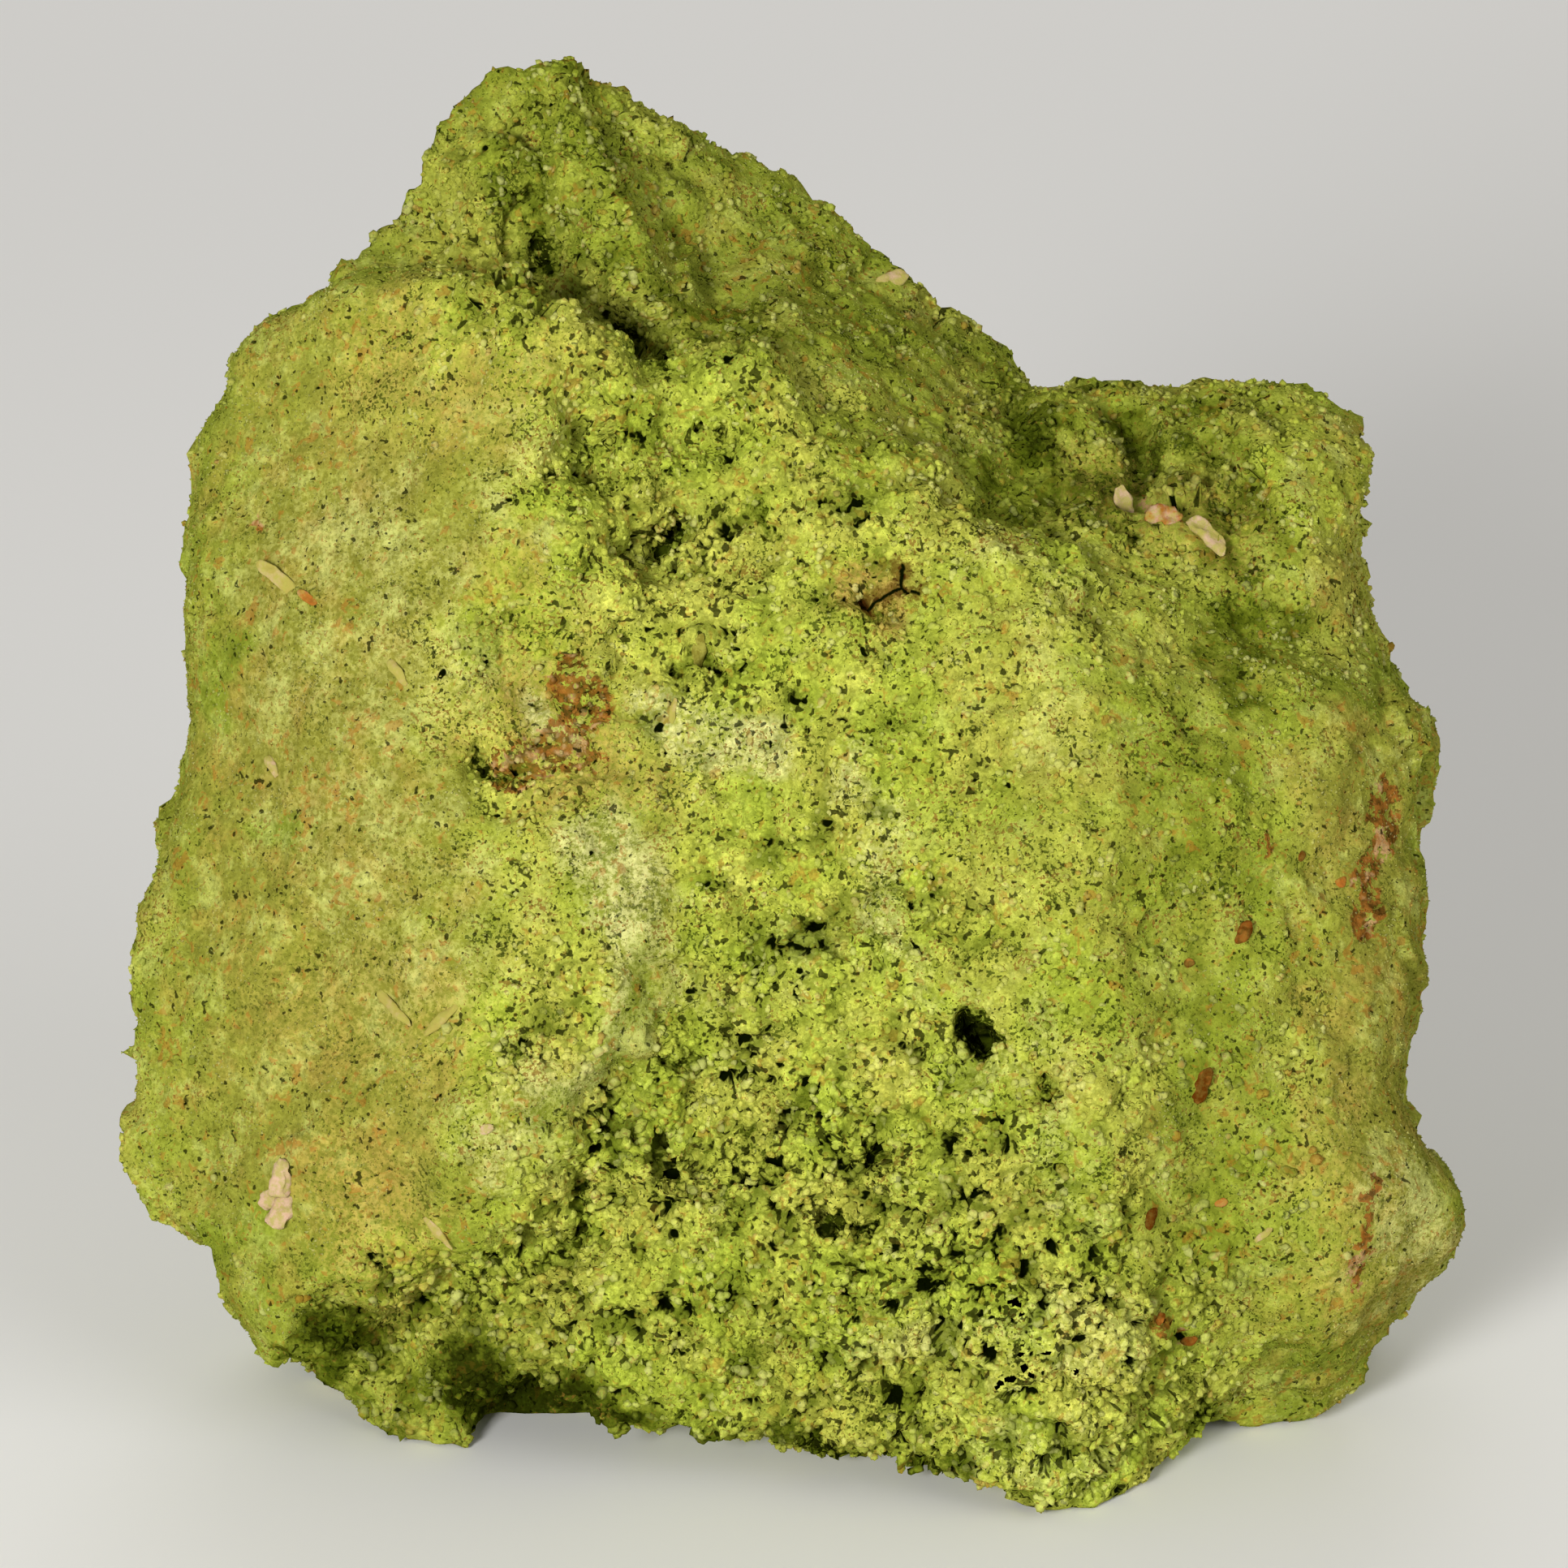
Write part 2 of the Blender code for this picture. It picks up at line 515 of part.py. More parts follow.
def clay():
    """Dull, dry, yellow-green clay."""
    material = bpy.data.materials.new("nontronite_clay")
    material.use_nodes = True
    shader = material.node_tree.nodes["Principled BSDF"]
    shader.inputs["Base Color"].default_value = CLAY_GREEN
    shader.inputs["Roughness"].default_value = DULLNESS
    shader.inputs["Metallic"].default_value = 0.0
    return material


def main():
    for obj in list(bpy.data.objects):
        bpy.data.objects.remove(obj)
    lump = grow_together([add_mass(mass) for mass in MASSES], "nontronite_mass")
    break_back(lump)
    raise_relief(lump)
    raise_lumps(lump)
    thin_out(lump)
    cut_base(lump)
    lump.data.materials.clear()
    lump.data.materials.append(clay())
    lump.data.shade_smooth()


main()
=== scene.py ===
"""The looks of a hand specimen of nontronite: crumbly yellow-green clay with dust, rust and chips in it.

Places on the show face are given as u, to the right, and v, up, in millimetres from its middle, as
they look from VIEW_DISTANCE in front of it. The face leans back by FACE_LEAN.
"""

import math
from typing import NamedTuple

import bpy
import numpy as np
from mathutils import Euler, Matrix, Vector, noise
from mathutils.bvhtree import BVHTree


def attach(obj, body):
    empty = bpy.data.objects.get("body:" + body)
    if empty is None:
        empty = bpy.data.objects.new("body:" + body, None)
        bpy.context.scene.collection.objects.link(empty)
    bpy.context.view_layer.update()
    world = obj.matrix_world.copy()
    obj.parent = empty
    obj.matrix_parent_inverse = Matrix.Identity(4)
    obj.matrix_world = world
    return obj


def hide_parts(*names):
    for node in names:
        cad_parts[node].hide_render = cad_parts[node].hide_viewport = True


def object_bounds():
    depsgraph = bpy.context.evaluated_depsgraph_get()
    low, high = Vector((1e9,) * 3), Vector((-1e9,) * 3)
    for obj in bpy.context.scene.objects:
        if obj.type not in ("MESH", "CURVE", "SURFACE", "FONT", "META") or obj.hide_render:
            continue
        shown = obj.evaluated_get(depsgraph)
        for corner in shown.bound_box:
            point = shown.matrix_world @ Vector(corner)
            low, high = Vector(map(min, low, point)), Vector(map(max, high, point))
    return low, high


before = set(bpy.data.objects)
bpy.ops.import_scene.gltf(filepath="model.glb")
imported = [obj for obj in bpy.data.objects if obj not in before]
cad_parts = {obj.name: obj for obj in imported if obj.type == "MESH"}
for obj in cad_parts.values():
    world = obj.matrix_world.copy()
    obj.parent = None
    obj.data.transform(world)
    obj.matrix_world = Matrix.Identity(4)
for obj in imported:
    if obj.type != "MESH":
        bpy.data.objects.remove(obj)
cad_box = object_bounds()

# Noise vectors follow this seed. Without it they would follow the clock.
NOISE_SEED = 7
noise.seed_set(NOISE_SEED)

MM = 0.001

# Where the show face is, and how the photograph looks at it
FACE_LEAN = math.radians(20.0)
VIEW_DISTANCE = 380.0
PICTURE_WIDTH = 80.94  # millimetres that the picture is wide, at the middle of the face
SENSOR_WIDTH = 36.0
FACE_MIDDLE = Vector((-0.5, -3.8, 33.4))
ACROSS = Vector((1.0, 0.0, 0.0))
UP_FACE = Vector((0.0, math.sin(FACE_LEAN), math.cos(FACE_LEAN)))
TO_VIEWER = Vector((0.0, -math.cos(FACE_LEAN), math.sin(FACE_LEAN)))

# How finely the skin is made, in millimetres
MERGE_GAP = 0.01  # points of the solid that are nearer than this are one
SKIN_GRAIN = 0.81
SKIN_SMOOTHING = 2
FINELY_SHOWN = 0.3  # clay that is more shown than this is divided once
FINEST_CRUMBLY = 0.8  # shown clay that is more crumbly than this is divided once more
BOX_GAP = 0.02  # how far inside the solid's own box everything stays
SPREAD_ROUNDS = 40  # how far the shown side reaches into hollows

# The relief of the clay: the size of its forms, and how far they rise, in millimetres
LEDGE_SIZE, LEDGE_RISE = 5.5, 0.75
SMALL_LEDGE_SIZE, SMALL_LEDGE_RISE = 2.4, 0.8
SWELL_SIZE, SWELL_RISE = 3.2, 2.0
CLOD_SIZE, CLOD_RISE = 1.5, 1.15
LUMP_SIZE, LUMP_RISE = 0.75, 0.5
FOOT_HEIGHT = 1.6  # under this height the relief gets lower towards the base

# Where each side lies on a piece's own map: its left edge, its bottom edge and its size. The sides are
# the shown one, the back, the left, the right, the top and the bottom.
MAP_CELLS = [
    (0, 0, 0.68),
    (0.68, 0, 0.32),
    (0.68, 0.34, 0.32),
    (0.68, 0.68, 0.32),
    (0, 0.68, 0.32),
    (0.34, 0.68, 0.32),
]
MAP_EDGE = 0.004


class Brush(NamedTuple):
    """A soft stroke along a line on the show face, which brings its value."""

    name: str
    points: list
    reach: float
    value: float


class Chip(NamedTuple):
    """A splinter of another mineral, bedded in the face: sizes in millimetres, turn in degrees."""

    u: float
    v: float
    length: float
    width: float
    turn: float
    warmth: float  # -1 is olive, 0 is cream, 0.4 is pink, 0.75 is orange, 1 is rust


class Strewn(NamedTuple):
    """How the crumbs of one piece are strewn: lengths in millimetres, angles in radians."""

    spacing: float
    most: float  # crumbs on a square millimetre
    smallest: float  # radius
    largest: float
    sunk: float  # how far a crumb lies under the surface, for its radius
    tilt: float
    seed: int


# The crumbs, from the front of the lump to its back
STREWN = {
    "apron_clumps": Strewn(0.47, 3.4, 0.3, 0.54, 0.2, 0.9, 11),
    "front_clumps": Strewn(0.47, 3.4, 0.3, 0.54, 0.2, 0.9, 12),
    "valley_clumps": Strewn(0.43, 4.1, 0.2, 0.4, 0.2, 0.9, 21),
    "flank_clumps": Strewn(0.43, 4.1, 0.2, 0.4, 0.2, 0.9, 22),
    "high_clumps": Strewn(0.42, 5.0, 0.24, 0.42, 0.2, 0.9, 31),
    "dusty_grains": Strewn(0.2, 18.0, 0.08, 0.16, 0.1, 3.0, 41),
    "back_grains": Strewn(0.5, 2.4, 0.12, 0.3, 0.2, 3.0, 51),
}

# Where one zone of crumbs gives way to the next on the show face, in millimetres
APRON_BORDER = (11.5, 13.5)  # how far under the middle
CREST_BORDER = (18.5, 20.5)  # how far over it, on a line that falls to the right
CREST_FALL = 0.45
RIGHT_BORDER = 4.0
LOOSE = (0.15, 0.5)  # how crumbly the clay is where clumps begin, and where they are at their most
FIRM = (0.25, 0.6)  # how crumbly it is where grains of dust begin to go, and where none are left

# How far the edges of strokes stray: the size of the waves, and how far they go, in millimetres
WIDE_STRAY = (3.0, 2.6)
RUST_STRAY = (0.8, 0.5)
RELIEF_STRAY = (0.9, 0.45)
RAGGED_STRAY = (0.4, 0.3)

# How soft the edge of a stroke is, as shares of its reach: outside its line, and inside it
STROKE_EDGE = (-0.15, 0.75)
RELIEF_EDGE = (0.0, 0.9)

# How crumbly the clay is: 0 is smooth and dusty, 1 is all crumbs and pores
CRUMBLY_START = 0.5
CRUMBLY_PATCHES = 0.5  # how much it comes and goes
CRUMBLY_PATCH_SIZE = 2.2
MOST_CRUMBLY = 1.1
CRUMBLY = [
    Brush("left lobe", [(-22, 18), (-24, 5), (-25, -10), (-24, -20)], 13.0, 0.12),
    Brush("dusty top of the lobe", [(-20, 21), (-14, 21)], 6.0, 0.3),
    Brush("right flank", [(22, 2), (24, -8), (25, -20), (27, -28)], 11.0, 0.32),
    Brush("right edge", [(31, 3), (31, -12), (33, -23)], 5.0, 0.12),
    Brush("lower right edge", [(34, -23), (30, -29), (26, -32.6)], 3.0, 0.12),
    Brush("dark slope", [(-3, 29), (4, 23), (8, 18)], 8.0, 0.3),
    Brush("peak", [(-14, 34), (-13, 29)], 6.5, 0.6),
    Brush("block", [(14, 18), (20, 17), (27, 15)], 6.0, 0.5),
    Brush("right end of the block", [(28.6, 18), (29.2, 10)], 3.6, 0.3),
    Brush("left edge of the peak", [(-25, 24.5), (-22, 28), (-18.9, 32.4), (-16, 35.8)], 2.0, 0.25),
    Brush("crest", [(-17, 25), (-10, 24), (-3, 21), (6, 14)], 3.4, 0.65),
    Brush("upper valley", [(-8, 17), (-6, 12), (-3, 6)], 6.0, 0.82),
    Brush("valley", [(2, 12), (3, 4), (0, -4), (4, -10)], 9.0, 0.66),
    Brush("ridge", [(13, 9), (14, 0), (14, -10), (16, -20)], 4.0, 0.46),
    Brush("apron", [(-7, -16), (0, -20), (8, -24), (14, -31)], 10.5, 1.0),
    Brush("front edge", [(-11, -27), (-2, -30), (8, -33), (15, -36)], 4.5, 0.85),
    Brush("toe and foot", [(-22, -31), (-18, -33), (-15, -28)], 5.0, 0.55),
    Brush("over the foot", [(-19, -26.3), (-13, -25.5)], 2.6, 0.9),
    Brush("rusty hollow", [(-15, 7), (-13, 1)], 4.0, 0.6),
    Brush("smooth step of the lobe", [(-8, -2), (-7, -11), (-12, -17)], 2.6, 0.06),
]

# How broken the surface is, in ledges and lumps of 2 to 5 mm
BROKEN_START = 0.45
BROKEN = [
    Brush("left lobe", [(-22, 18), (-24, 5), (-25, -10), (-22, -18)], 14.0, 0.1),
    Brush("right flank", [(22, 2), (24, -8), (25, -20), (32, -20)], 12.0, 0.12),
    Brush("valley", [(2, 12), (3, 4), (0, -4), (4, -10)], 11.0, 0.3),
    Brush("apron", [(-7, -16), (0, -20), (8, -24), (14, -31)], 8.0, 0.55),
    Brush("block", [(12, 18), (20, 16)], 6.0, 0.55),
    Brush("right end of the block", [(27.5, 20), (28.6, 16), (28.6, 8)], 5.0, 0.1),
    Brush("peak", [(-16, 33), (-12, 27)], 7.0, 0.55),
    Brush("left edge of the peak", [(-25, 24.5), (-22, 28), (-18.9, 32.4), (-16, 35.8)], 3.2, 0.1),
    Brush("dark slope", [(0, 29), (8, 20)], 6.0, 0.3),
]

# Pale dust, and painted light where shade falls: on the bank of the lobe, low on the apron, on the
# valley floor
DUST_AND_LIGHT_START = 0.0
DUST_AND_LIGHT = [
    Brush("step of the lobe", [(-8.6, -4), (-7.2, -10.4)], 3.4, 0.82),
    Brush("lower edge of the lobe", [(-12, -15), (-15, -19)], 3.2, 0.5),
    Brush("bank of the lobe", [(-6.6, -10), (-8.6, -15), (-11.5, -19)], 2.2, 0.3),
    Brush("upper lobe", [(-13.7, 18.7), (-14.1, 13.7)], 3.2, 0.35),
    Brush("under the valley pits", [(-6, 4), (-2, 2.5)], 2.4, 0.85),
    Brush("streak of the spur", [(4, 2), (5, -8)], 1.6, 0.6),
    Brush("streak under the spur", [(6, -10), (10, -14)], 2.0, 0.4),
    Brush("right hip", [(32, -22), (33, -25)], 4.0, 0.42),
    Brush("left lobe", [(-24, 12), (-22, 0), (-18, -8)], 8.0, 0.3),
    Brush("front foot", [(11, -34.6), (16, -35.2)], 3.2, 0.45),
    Brush("head of the ridge", [(13, 8), (14, 2)], 2.6, 0.3),
    Brush("ridge beside the block", [(11.6, 11.8), (14.4, 10.0)], 2.2, 0.4),
    Brush("low on the apron", [(4, -28), (10, -29), (18, -28.4)], 3.0, 0.45),
    Brush("floor of the valley", [(0.4, -8), (1.6, -10)], 2.0, 0.4),
    Brush("ridge", [(14, -12), (15, -22)], 2.2, 0.4),
    Brush("left of the crest", [(-21, 14), (-16, 5)], 4.0, 0.35),
    Brush("beside the rust", [(-12.6, 4.2), (-11.8, 3.0)], 1.2, 0.9),
]

# Tan, where iron has weathered
TAN_START = 0.0
TAN = [
    Brush("top of the lobe", [(-21, 22), (-14, 21)], 5.0, 0.5),
    Brush("edge of the lobe", [(-14, 11), (-12, 6)], 3.0, 0.4),
    Brush("low on the lobe", [(-24, -12), (-16, -14)], 6.0, 0.4),
    Brush("over the toe", [(-23, -21), (-20, -25)], 4.0, 0.6),
    Brush("right hip", [(29, -17), (29, -27)], 4.0, 0.35),
    Brush("rusty hollow", [(-14, 4), (-10, 1)], 4.5, 0.7),
    Brush("block", [(16, 15), (24, 13)], 3.5, 0.45),
    Brush("cracked plate", [(4.0, 10.3), (6.1, 10.2)], 1.6, 0.9),
]

# Rust
RUST_START = 0.0
RUST = [
    Brush("hollow of the lobe", [(-14.2, 0.8), (-12.6, 1.4), (-11.2, 2.7)], 1.5, 0.9),
    Brush("right of the hollow", [(-10.6, 1.6), (-9.8, 1.2)], 1.0, 0.8),
    Brush("top of the hollow", [(-11.2, 5.6), (-9.9, 4.0)], 1.5, 0.75),
    Brush("head of the streak", [(31.1, -0.6), (31.2, -2.6)], 1.0, 0.9),
    Brush("streak of the right edge", [(31.0, -2.6), (30.3, -4.4), (30.0, -7.6)], 0.8, 1.1),
    Brush("fleck of the flank", [(24.9, -2.6), (25.0, -3.4)], 0.5, 0.9),
    Brush("dark streak of the hip", [(30.4, -20.3), (30.0, -22.6), (29.4, -25.8)], 0.4, 1.0),
    Brush("low flecks", [(19.0, -27.4), (21.0, -28.9)], 0.5, 0.8),
    Brush("left lobe", [(-27.2, 13.6), (-26.9, 13.2)], 0.6, 0.6),
    Brush("chips of the block", [(18.6, 14.6), (20.2, 13.9)], 0.9, 0.5),
]

# Green clay and painted shade: high values darken places in shade or turned from the light, low values
# lighten them
GREEN_AND_SHADE_START = 0.35
GREEN_AND_SHADE = [
    Brush("left lobe", [(-20, 16), (-22, 2), (-24, -16)], 12.0, 0.1),
    Brush("valley and apron", [(-2, 6), (0, -6), (4, -16), (6, -26)], 12.0, 0.25),
    Brush("peak", [(-11.5, 37), (-15, 34), (-14, 28)], 6.0, 0.6),
    Brush("dark slope", [(-8, 33), (0, 27), (8, 20)], 6.5, 0.54),
    Brush("behind the crest", [(-8, 26), (-5, 24.4), (-1, 23.8)], 2.2, 0.75),
    Brush("low behind the crest", [(-6, 19.4), (1, 19)], 2.0, 0.25),
    Brush("block", [(12, 18), (20, 16), (24, 16)], 5.2, 0.72),
    Brush("ridge beside the block", [(11.6, 12.2), (14.6, 10.2)], 2.2, 0.05),
    Brush("left end of the block", [(8.6, 20.4), (8.8, 16.4)], 2.2, 0.4),
    Brush("hollow left of the block", [(12.2, 17.6), (12.9, 16.0)], 2.2, 1.1),
    Brush("hollow of the block", [(18.3, 18.4), (18.5, 15.4)], 1.7, 1.1),
    Brush("hollow right of the block", [(22.9, 18.0), (23.2, 15.8)], 1.5, 0.8),
    Brush("right end of the block", [(27, 16), (28, 11)], 4.0, 0.0),
    Brush("flank", [(21.5, -1), (23, -10), (22, -24)], 5.6, 0.62),
    Brush("low on the right of the apron", [(9, -28.5), (17, -29)], 3.0, 0.05),
    Brush("hollow of the lobe", [(-15.2, 7.6), (-13.8, 4.8)], 2.4, 0.55),
    Brush("spot of the left edge", [(-29.4, 5.9), (-29.2, 4.8)], 1.3, 0.8),
    Brush("low spot of the lobe", [(-25.8, -2.0), (-24.6, -3.0)], 1.4, 0.5),
    Brush("right of the flank", [(29, 0), (29, -14), (31, -24)], 6.0, 0.1),
    Brush("under the block", [(24.2, 12.4), (24.6, 6)], 3.4, 0.85),
    Brush("step under the block", [(25, 6.4), (30.5, 5.4)], 1.6, 0.5),
    Brush("low corner of the lobe", [(-31, -23), (-28, -26)], 2.4, 0.5),
    Brush("toe and foot", [(-23, -31), (-18, -33), (-14, -30)], 4.5, 0.78),
    Brush("front foot", [(12, -34), (17, -36)], 4.0, 0.0),
    Brush("alcove", [(-16, -32.2), (-12, -31.9), (-9, -32.9)], 2.15, 1.6),
    Brush("under the toe", [(-24.5, -29), (-20, -28)], 1.8, 1.2),
    Brush("under the front edge", [(-5, -34), (2, -35), (9, -36)], 2.0, 0.9),
]

# Small relief of the show face: hollows go down and swellings come up by their value
SMALL_RELIEF = [
    Brush("oval cavity", [(-4.3, 7.5), (-4.4, 6.3)], 0.6, -0.8),
    Brush("dark corner of the hollow", [(-16.0, 2.2), (-15.6, 0.7), (-14.6, 0.3)], 0.45, -1.0),
    Brush("deep pit", [(9.9, -12.7), (10.7, -13.7)], 0.95, -2.4),
    Brush("arms of the deep pit", [(9.4, -12.0), (10.4, -13.2), (11.8, -13.3)], 0.5, -1.3),
    Brush("pit beside the crest", [(-10.0, 18.4), (-9.6, 17.2)], 0.5, -1.0),
    Brush("pit under it", [(-12.2, 16.4), (-11.8, 15.8)], 0.45, -0.9),
    Brush("bank round the upper slot", [(-7.6, 13.2), (-6.6, 10.4)], 4.0, 0.6),
    Brush("bank of the lobe", [(-6.9, -8.2), (-6.9, -12.2)], 3.0, 0.4),
    Brush("upper slot", [(-5.9, 13.4), (-6.5, 11.6)], 0.42, -1.7),
    Brush("pit under the crest", [(-4.3, 18.6), (-3.7, 18.4)], 0.5, -1.0),
    Brush("pits of the streak", [(-1.3, 14.3), (-0.2, 12.5)], 0.45, -0.9),
    Brush("crevice of the peak", [(-12.6, 28.0), (-12.5, 26.6)], 0.45, -0.8),
    Brush("crevice behind the crest", [(-9.4, 24.2), (-8.4, 23.4), (-6.0, 21.6)], 0.7, -1.0),
    Brush("crack at the lobe", [(-10.5, -19.4), (-10.4, -23.4), (-14.4, -25.6)], 0.6, -0.9),
    Brush("cavity under the toe", [(-23.5, -28.2), (-21.9, -28.8)], 1.3, -0.8),
    Brush("pit of the rusty crumbs", [(-6.6, -13.9), (-5.4, -14.4)], 0.6, -1.1),
    Brush("bank of the apron pits", [(-7.6, -19.6), (-5.8, -21.4)], 2.8, 0.6),
    Brush("apron pits", [(-6.5, -18.6), (-5.3, -20.7)], 0.5, -1.2),
    Brush("upper pit of the apron", [(-2.4, -17.2), (-1.8, -18.0)], 0.55, -1.1),
    Brush("middle pit of the apron", [(3.5, -18.6), (4.6, -19.4)], 0.75, -1.3),
    Brush("lower pit of the apron", [(2.4, -22.6), (4.4, -23.0)], 0.6, -1.3),
    Brush("pit beside the ridge", [(13.4, -15.4), (13.8, -16.6)], 0.6, -1.1),
    Brush("hollow left of the block", [(12.0, 17.6), (12.6, 16.2)], 1.3, -0.5),
    Brush("hollow of the block", [(18.4, 18.6), (18.2, 16.6)], 1.3, -0.5),
    Brush("hollow right of the block", [(22.8, 17.4), (22.9, 15.8)], 1.2, -0.3),
    Brush("slot over the ledge", [(17.0, 13.4), (18.4, 13.0)], 0.5, -0.8),
    Brush("rib of the peak", [(-11.6, 36.0), (-8.8, 30.2), (-7.0, 25.0)], 1.2, 0.7),
    Brush("hollow left of the rib", [(-13.6, 30.5), (-12.6, 28.0)], 1.4, -0.6),
    Brush("ledge under the front edge", [(1.4, -34.2), (7.7, -35.4)], 0.8, -1.2),
    Brush("notch of the foot", [(21.6, -31.6), (21.8, -33.0)], 0.7, -1.1),
]

# The splinters and pellets that are seen on the show face
CHIPS = [
    Chip(-25.8, 10.4, 3.6, 0.9, -38, 0.05),
    Chip(-24.6, 9.6, 1.3, 0.6, -40, 0.72),
    Chip(-19.9, 5.7, 1.6, 0.6, -55, 0.0),
    Chip(-26.4, 0.9, 1.2, 0.7, -60, 0.15),
    Chip(-20.1, -11.6, 2.6, 0.6, -45, 0.0),
    Chip(-17.6, -12.1, 2.5, 0.6, 40, 0.0),
    Chip(-15.3, -17.8, 0.7, 0.5, 20, 0.3),
    Chip(-17.8, -23.2, 2.1, 0.5, -50, 0.1),
    Chip(21.9, 12.8, 2.8, 1.15, -48, 0.2),
    Chip(17.5, 14.55, 1.7, 1.0, -65, 0.2),
    Chip(19.6, 13.8, 2.1, 1.3, 10, 0.62),
    Chip(5.6, 26.0, 1.7, 1.0, 30, 0.2),
    Chip(-25.9, -20.4, 2.0, 1.3, 76, 0.36),
    Chip(-26.4, -21.4, 1.4, 1.2, 12, 0.3),
    Chip(-25.9, -22.0, 1.9, 1.3, 62, 0.38),
    Chip(-5.7, 3.8, 1.4, 0.35, 80, 0.05),
    Chip(-4.4, 6.9, 1.9, 0.75, 86, -1.0),
    Chip(23.7, -7.7, 1.3, 0.8, 60, 1.0),
    Chip(20.9, -9.2, 0.6, 0.5, 0, 0.9),
    Chip(21.6, -15.6, 2.0, 0.95, 72, 1.0),
    Chip(18.9, -22.4, 1.3, 0.7, 70, 1.0),
    Chip(22.6, -21.6, 0.7, 0.5, 20, 0.8),
    Chip(20.9, -28.7, 0.9, 0.6, 20, 1.0),
    Chip(19.4, -27.6, 0.7, 0.5, 50, 0.9),
    Chip(26.7, -3.7, 0.6, 0.5, 80, 1.0),
    Chip(28.7, -5.1, 0.8, 0.6, 30, 0.85),
    Chip(24.8, -23.2, 1.3, 0.4, 45, 0.1),
]
CHIP_THICKNESS = 0.4  # a chip's thickness, for its width
CHIP_TURN = 0.8  # how much a chip turns from its place's own direction to the viewer
CHIP_RAISED = 0.3  # how far the middle of a chip lies over the clay, for its thickness
CHIP_CLEAR = 0.25  # how far crumbs stay away from a chip, in millimetres
CHIP_CORNER = 0.56  # how far a chip's corners lie from its middle, for its length
CHIP_KNOCKS = 0.22  # how far a chip is knocked out of shape, for its width
CHIP_ROUGHNESS = 0.07  # how far its surface is ragged, for its width
ROUND_CHIP = 0.6  # a chip warmer than this is a rounded pellet

# The three-armed crack in its brown plate
CRACK_MIDDLE = (6.0, 10.15)
CRACK_ENDS = [(6.1, 11.3), (4.5, 9.3), (7.0, 9.8)]
CRACK_CLEAR = 0.3  # how far crumbs stay away from the crack

# The stage: lengths in metres, and light as it is linear
FLOOR_SIZE = 6.0
FLOOR_DROP = 0.0001
FLOOR_COLOUR = (0.88, 0.87, 0.85, 1.0)
ROOM_COLOUR = (0.98, 0.96, 0.9, 1.0)
ROOM_LIGHT = 0.27


def only_this(obj):
    """Makes obj the one that is selected, and the active one."""
    bpy.ops.object.select_all(action="DESELECT")
    obj.select_set(True)
    bpy.context.view_layer.objects.active = obj


def apply(obj, kind, **values):
    """Adds a modifier of this kind, sets its values and applies it."""
    modifier = obj.modifiers.new(kind.title(), kind)
    for name, value in values.items():
        setattr(modifier, name, value)
    only_this(obj)
    bpy.ops.object.modifier_apply(modifier=modifier.name)


def read(obj):
    """The object's points, in millimetres, and its outward directions."""
    count = len(obj.data.vertices)
    points = np.empty(count * 3)
    outward = np.empty(count * 3)
    obj.data.vertices.foreach_get("co", points)
    obj.data.vertices.foreach_get("normal", outward)
    return points.reshape(-1, 3) / MM, outward.reshape(-1, 3)


def write(obj, points):
    """Gives the object its points, in millimetres."""
    obj.data.vertices.foreach_set("co", (points * MM).ravel())
    obj.data.update()


def join(pieces):
    """Joins the pieces into the first of them."""
    bpy.ops.object.select_all(action="DESELECT")
    for piece in pieces:
        piece.select_set(True)
    bpy.context.view_layer.objects.active = pieces[0]
    bpy.ops.object.join()


def keep_value(obj, name, values):
    """Keeps one value for each point of the mesh, under a name that materials can read."""
    kept = obj.data.attributes.new(name, "FLOAT", "POINT")
    kept.data.foreach_set("value", np.asarray(values, np.float32))


def seen(points):
    """The u and v at which each point is seen on the show face."""
    here = points - np.array(FACE_MIDDLE)
    nearer = 1.0 - here @ np.array(TO_VIEWER) / VIEW_DISTANCE
    return here @ np.array(ACROSS) / nearer, here @ np.array(UP_FACE) / nearer


def smooth_step(values, least, most):
    """0 under the least, 1 over the most, and a soft rise between them."""
    share = np.clip((values - least) / (most - least), 0.0, 1.0)
    return share * share * (3.0 - 2.0 * share)


def away_from_line(u, v, points):
    """How far each u and v is from a line through the points."""
    nearest = np.hypot(u - points[0][0], v - points[0][1])
    for (u0, v0), (u1, v1) in zip(points, points[1:]):
        run, rise = u1 - u0, v1 - v0
        along = ((u - u0) * run + (v - v0) * rise) / (run**2 + rise**2)
        along = np.clip(along, 0.0, 1.0)
        nearest = np.minimum(nearest, np.hypot(u - u0 - run * along, v - v0 - rise * along))
    return nearest


def waver(points, size, amount):
    """How far the edge of a stroke strays at each point, to the right and up."""
    strays = np.array([noise.noise_vector(Vector(p) / size) for p in points])
    return amount * strays[:, 0], amount * strays[:, 2]


def line_of_sight(u, v):
    """Where the viewer stands, and the way that the viewer looks to see this place."""
    eye = FACE_MIDDLE + TO_VIEWER * VIEW_DISTANCE
    return eye, (FACE_MIDDLE + ACROSS * u + UP_FACE * v - eye).normalized()


def brushed(u, v, shown, brushes, start):
    """The value at each point, once the brushes have gone over the show face in their order."""
    values = np.full(len(u), float(start))
    for brush in brushes:
        near = 1.0 - away_from_line(u, v, brush.points) / brush.reach
        values += (brush.value - values) * smooth_step(near, *STROKE_EDGE) * shown
    return values


# Node trees


def feed(tree, socket, value):
    """Gives a socket a value, or another node's output."""
    if isinstance(value, bpy.types.NodeSocket):
        tree.links.new(value, socket)
    else:
        socket.default_value = value


def put(tree, kind, inputs=(), **settings):
    """Adds a node, sets its settings, and feeds the inputs that are given by name or number."""
    node = tree.nodes.new(kind)
    for name, value in settings.items():
        setattr(node, name, value)
    for name, value in dict(inputs).items():
        feed(tree, node.inputs[name], value)
    return node


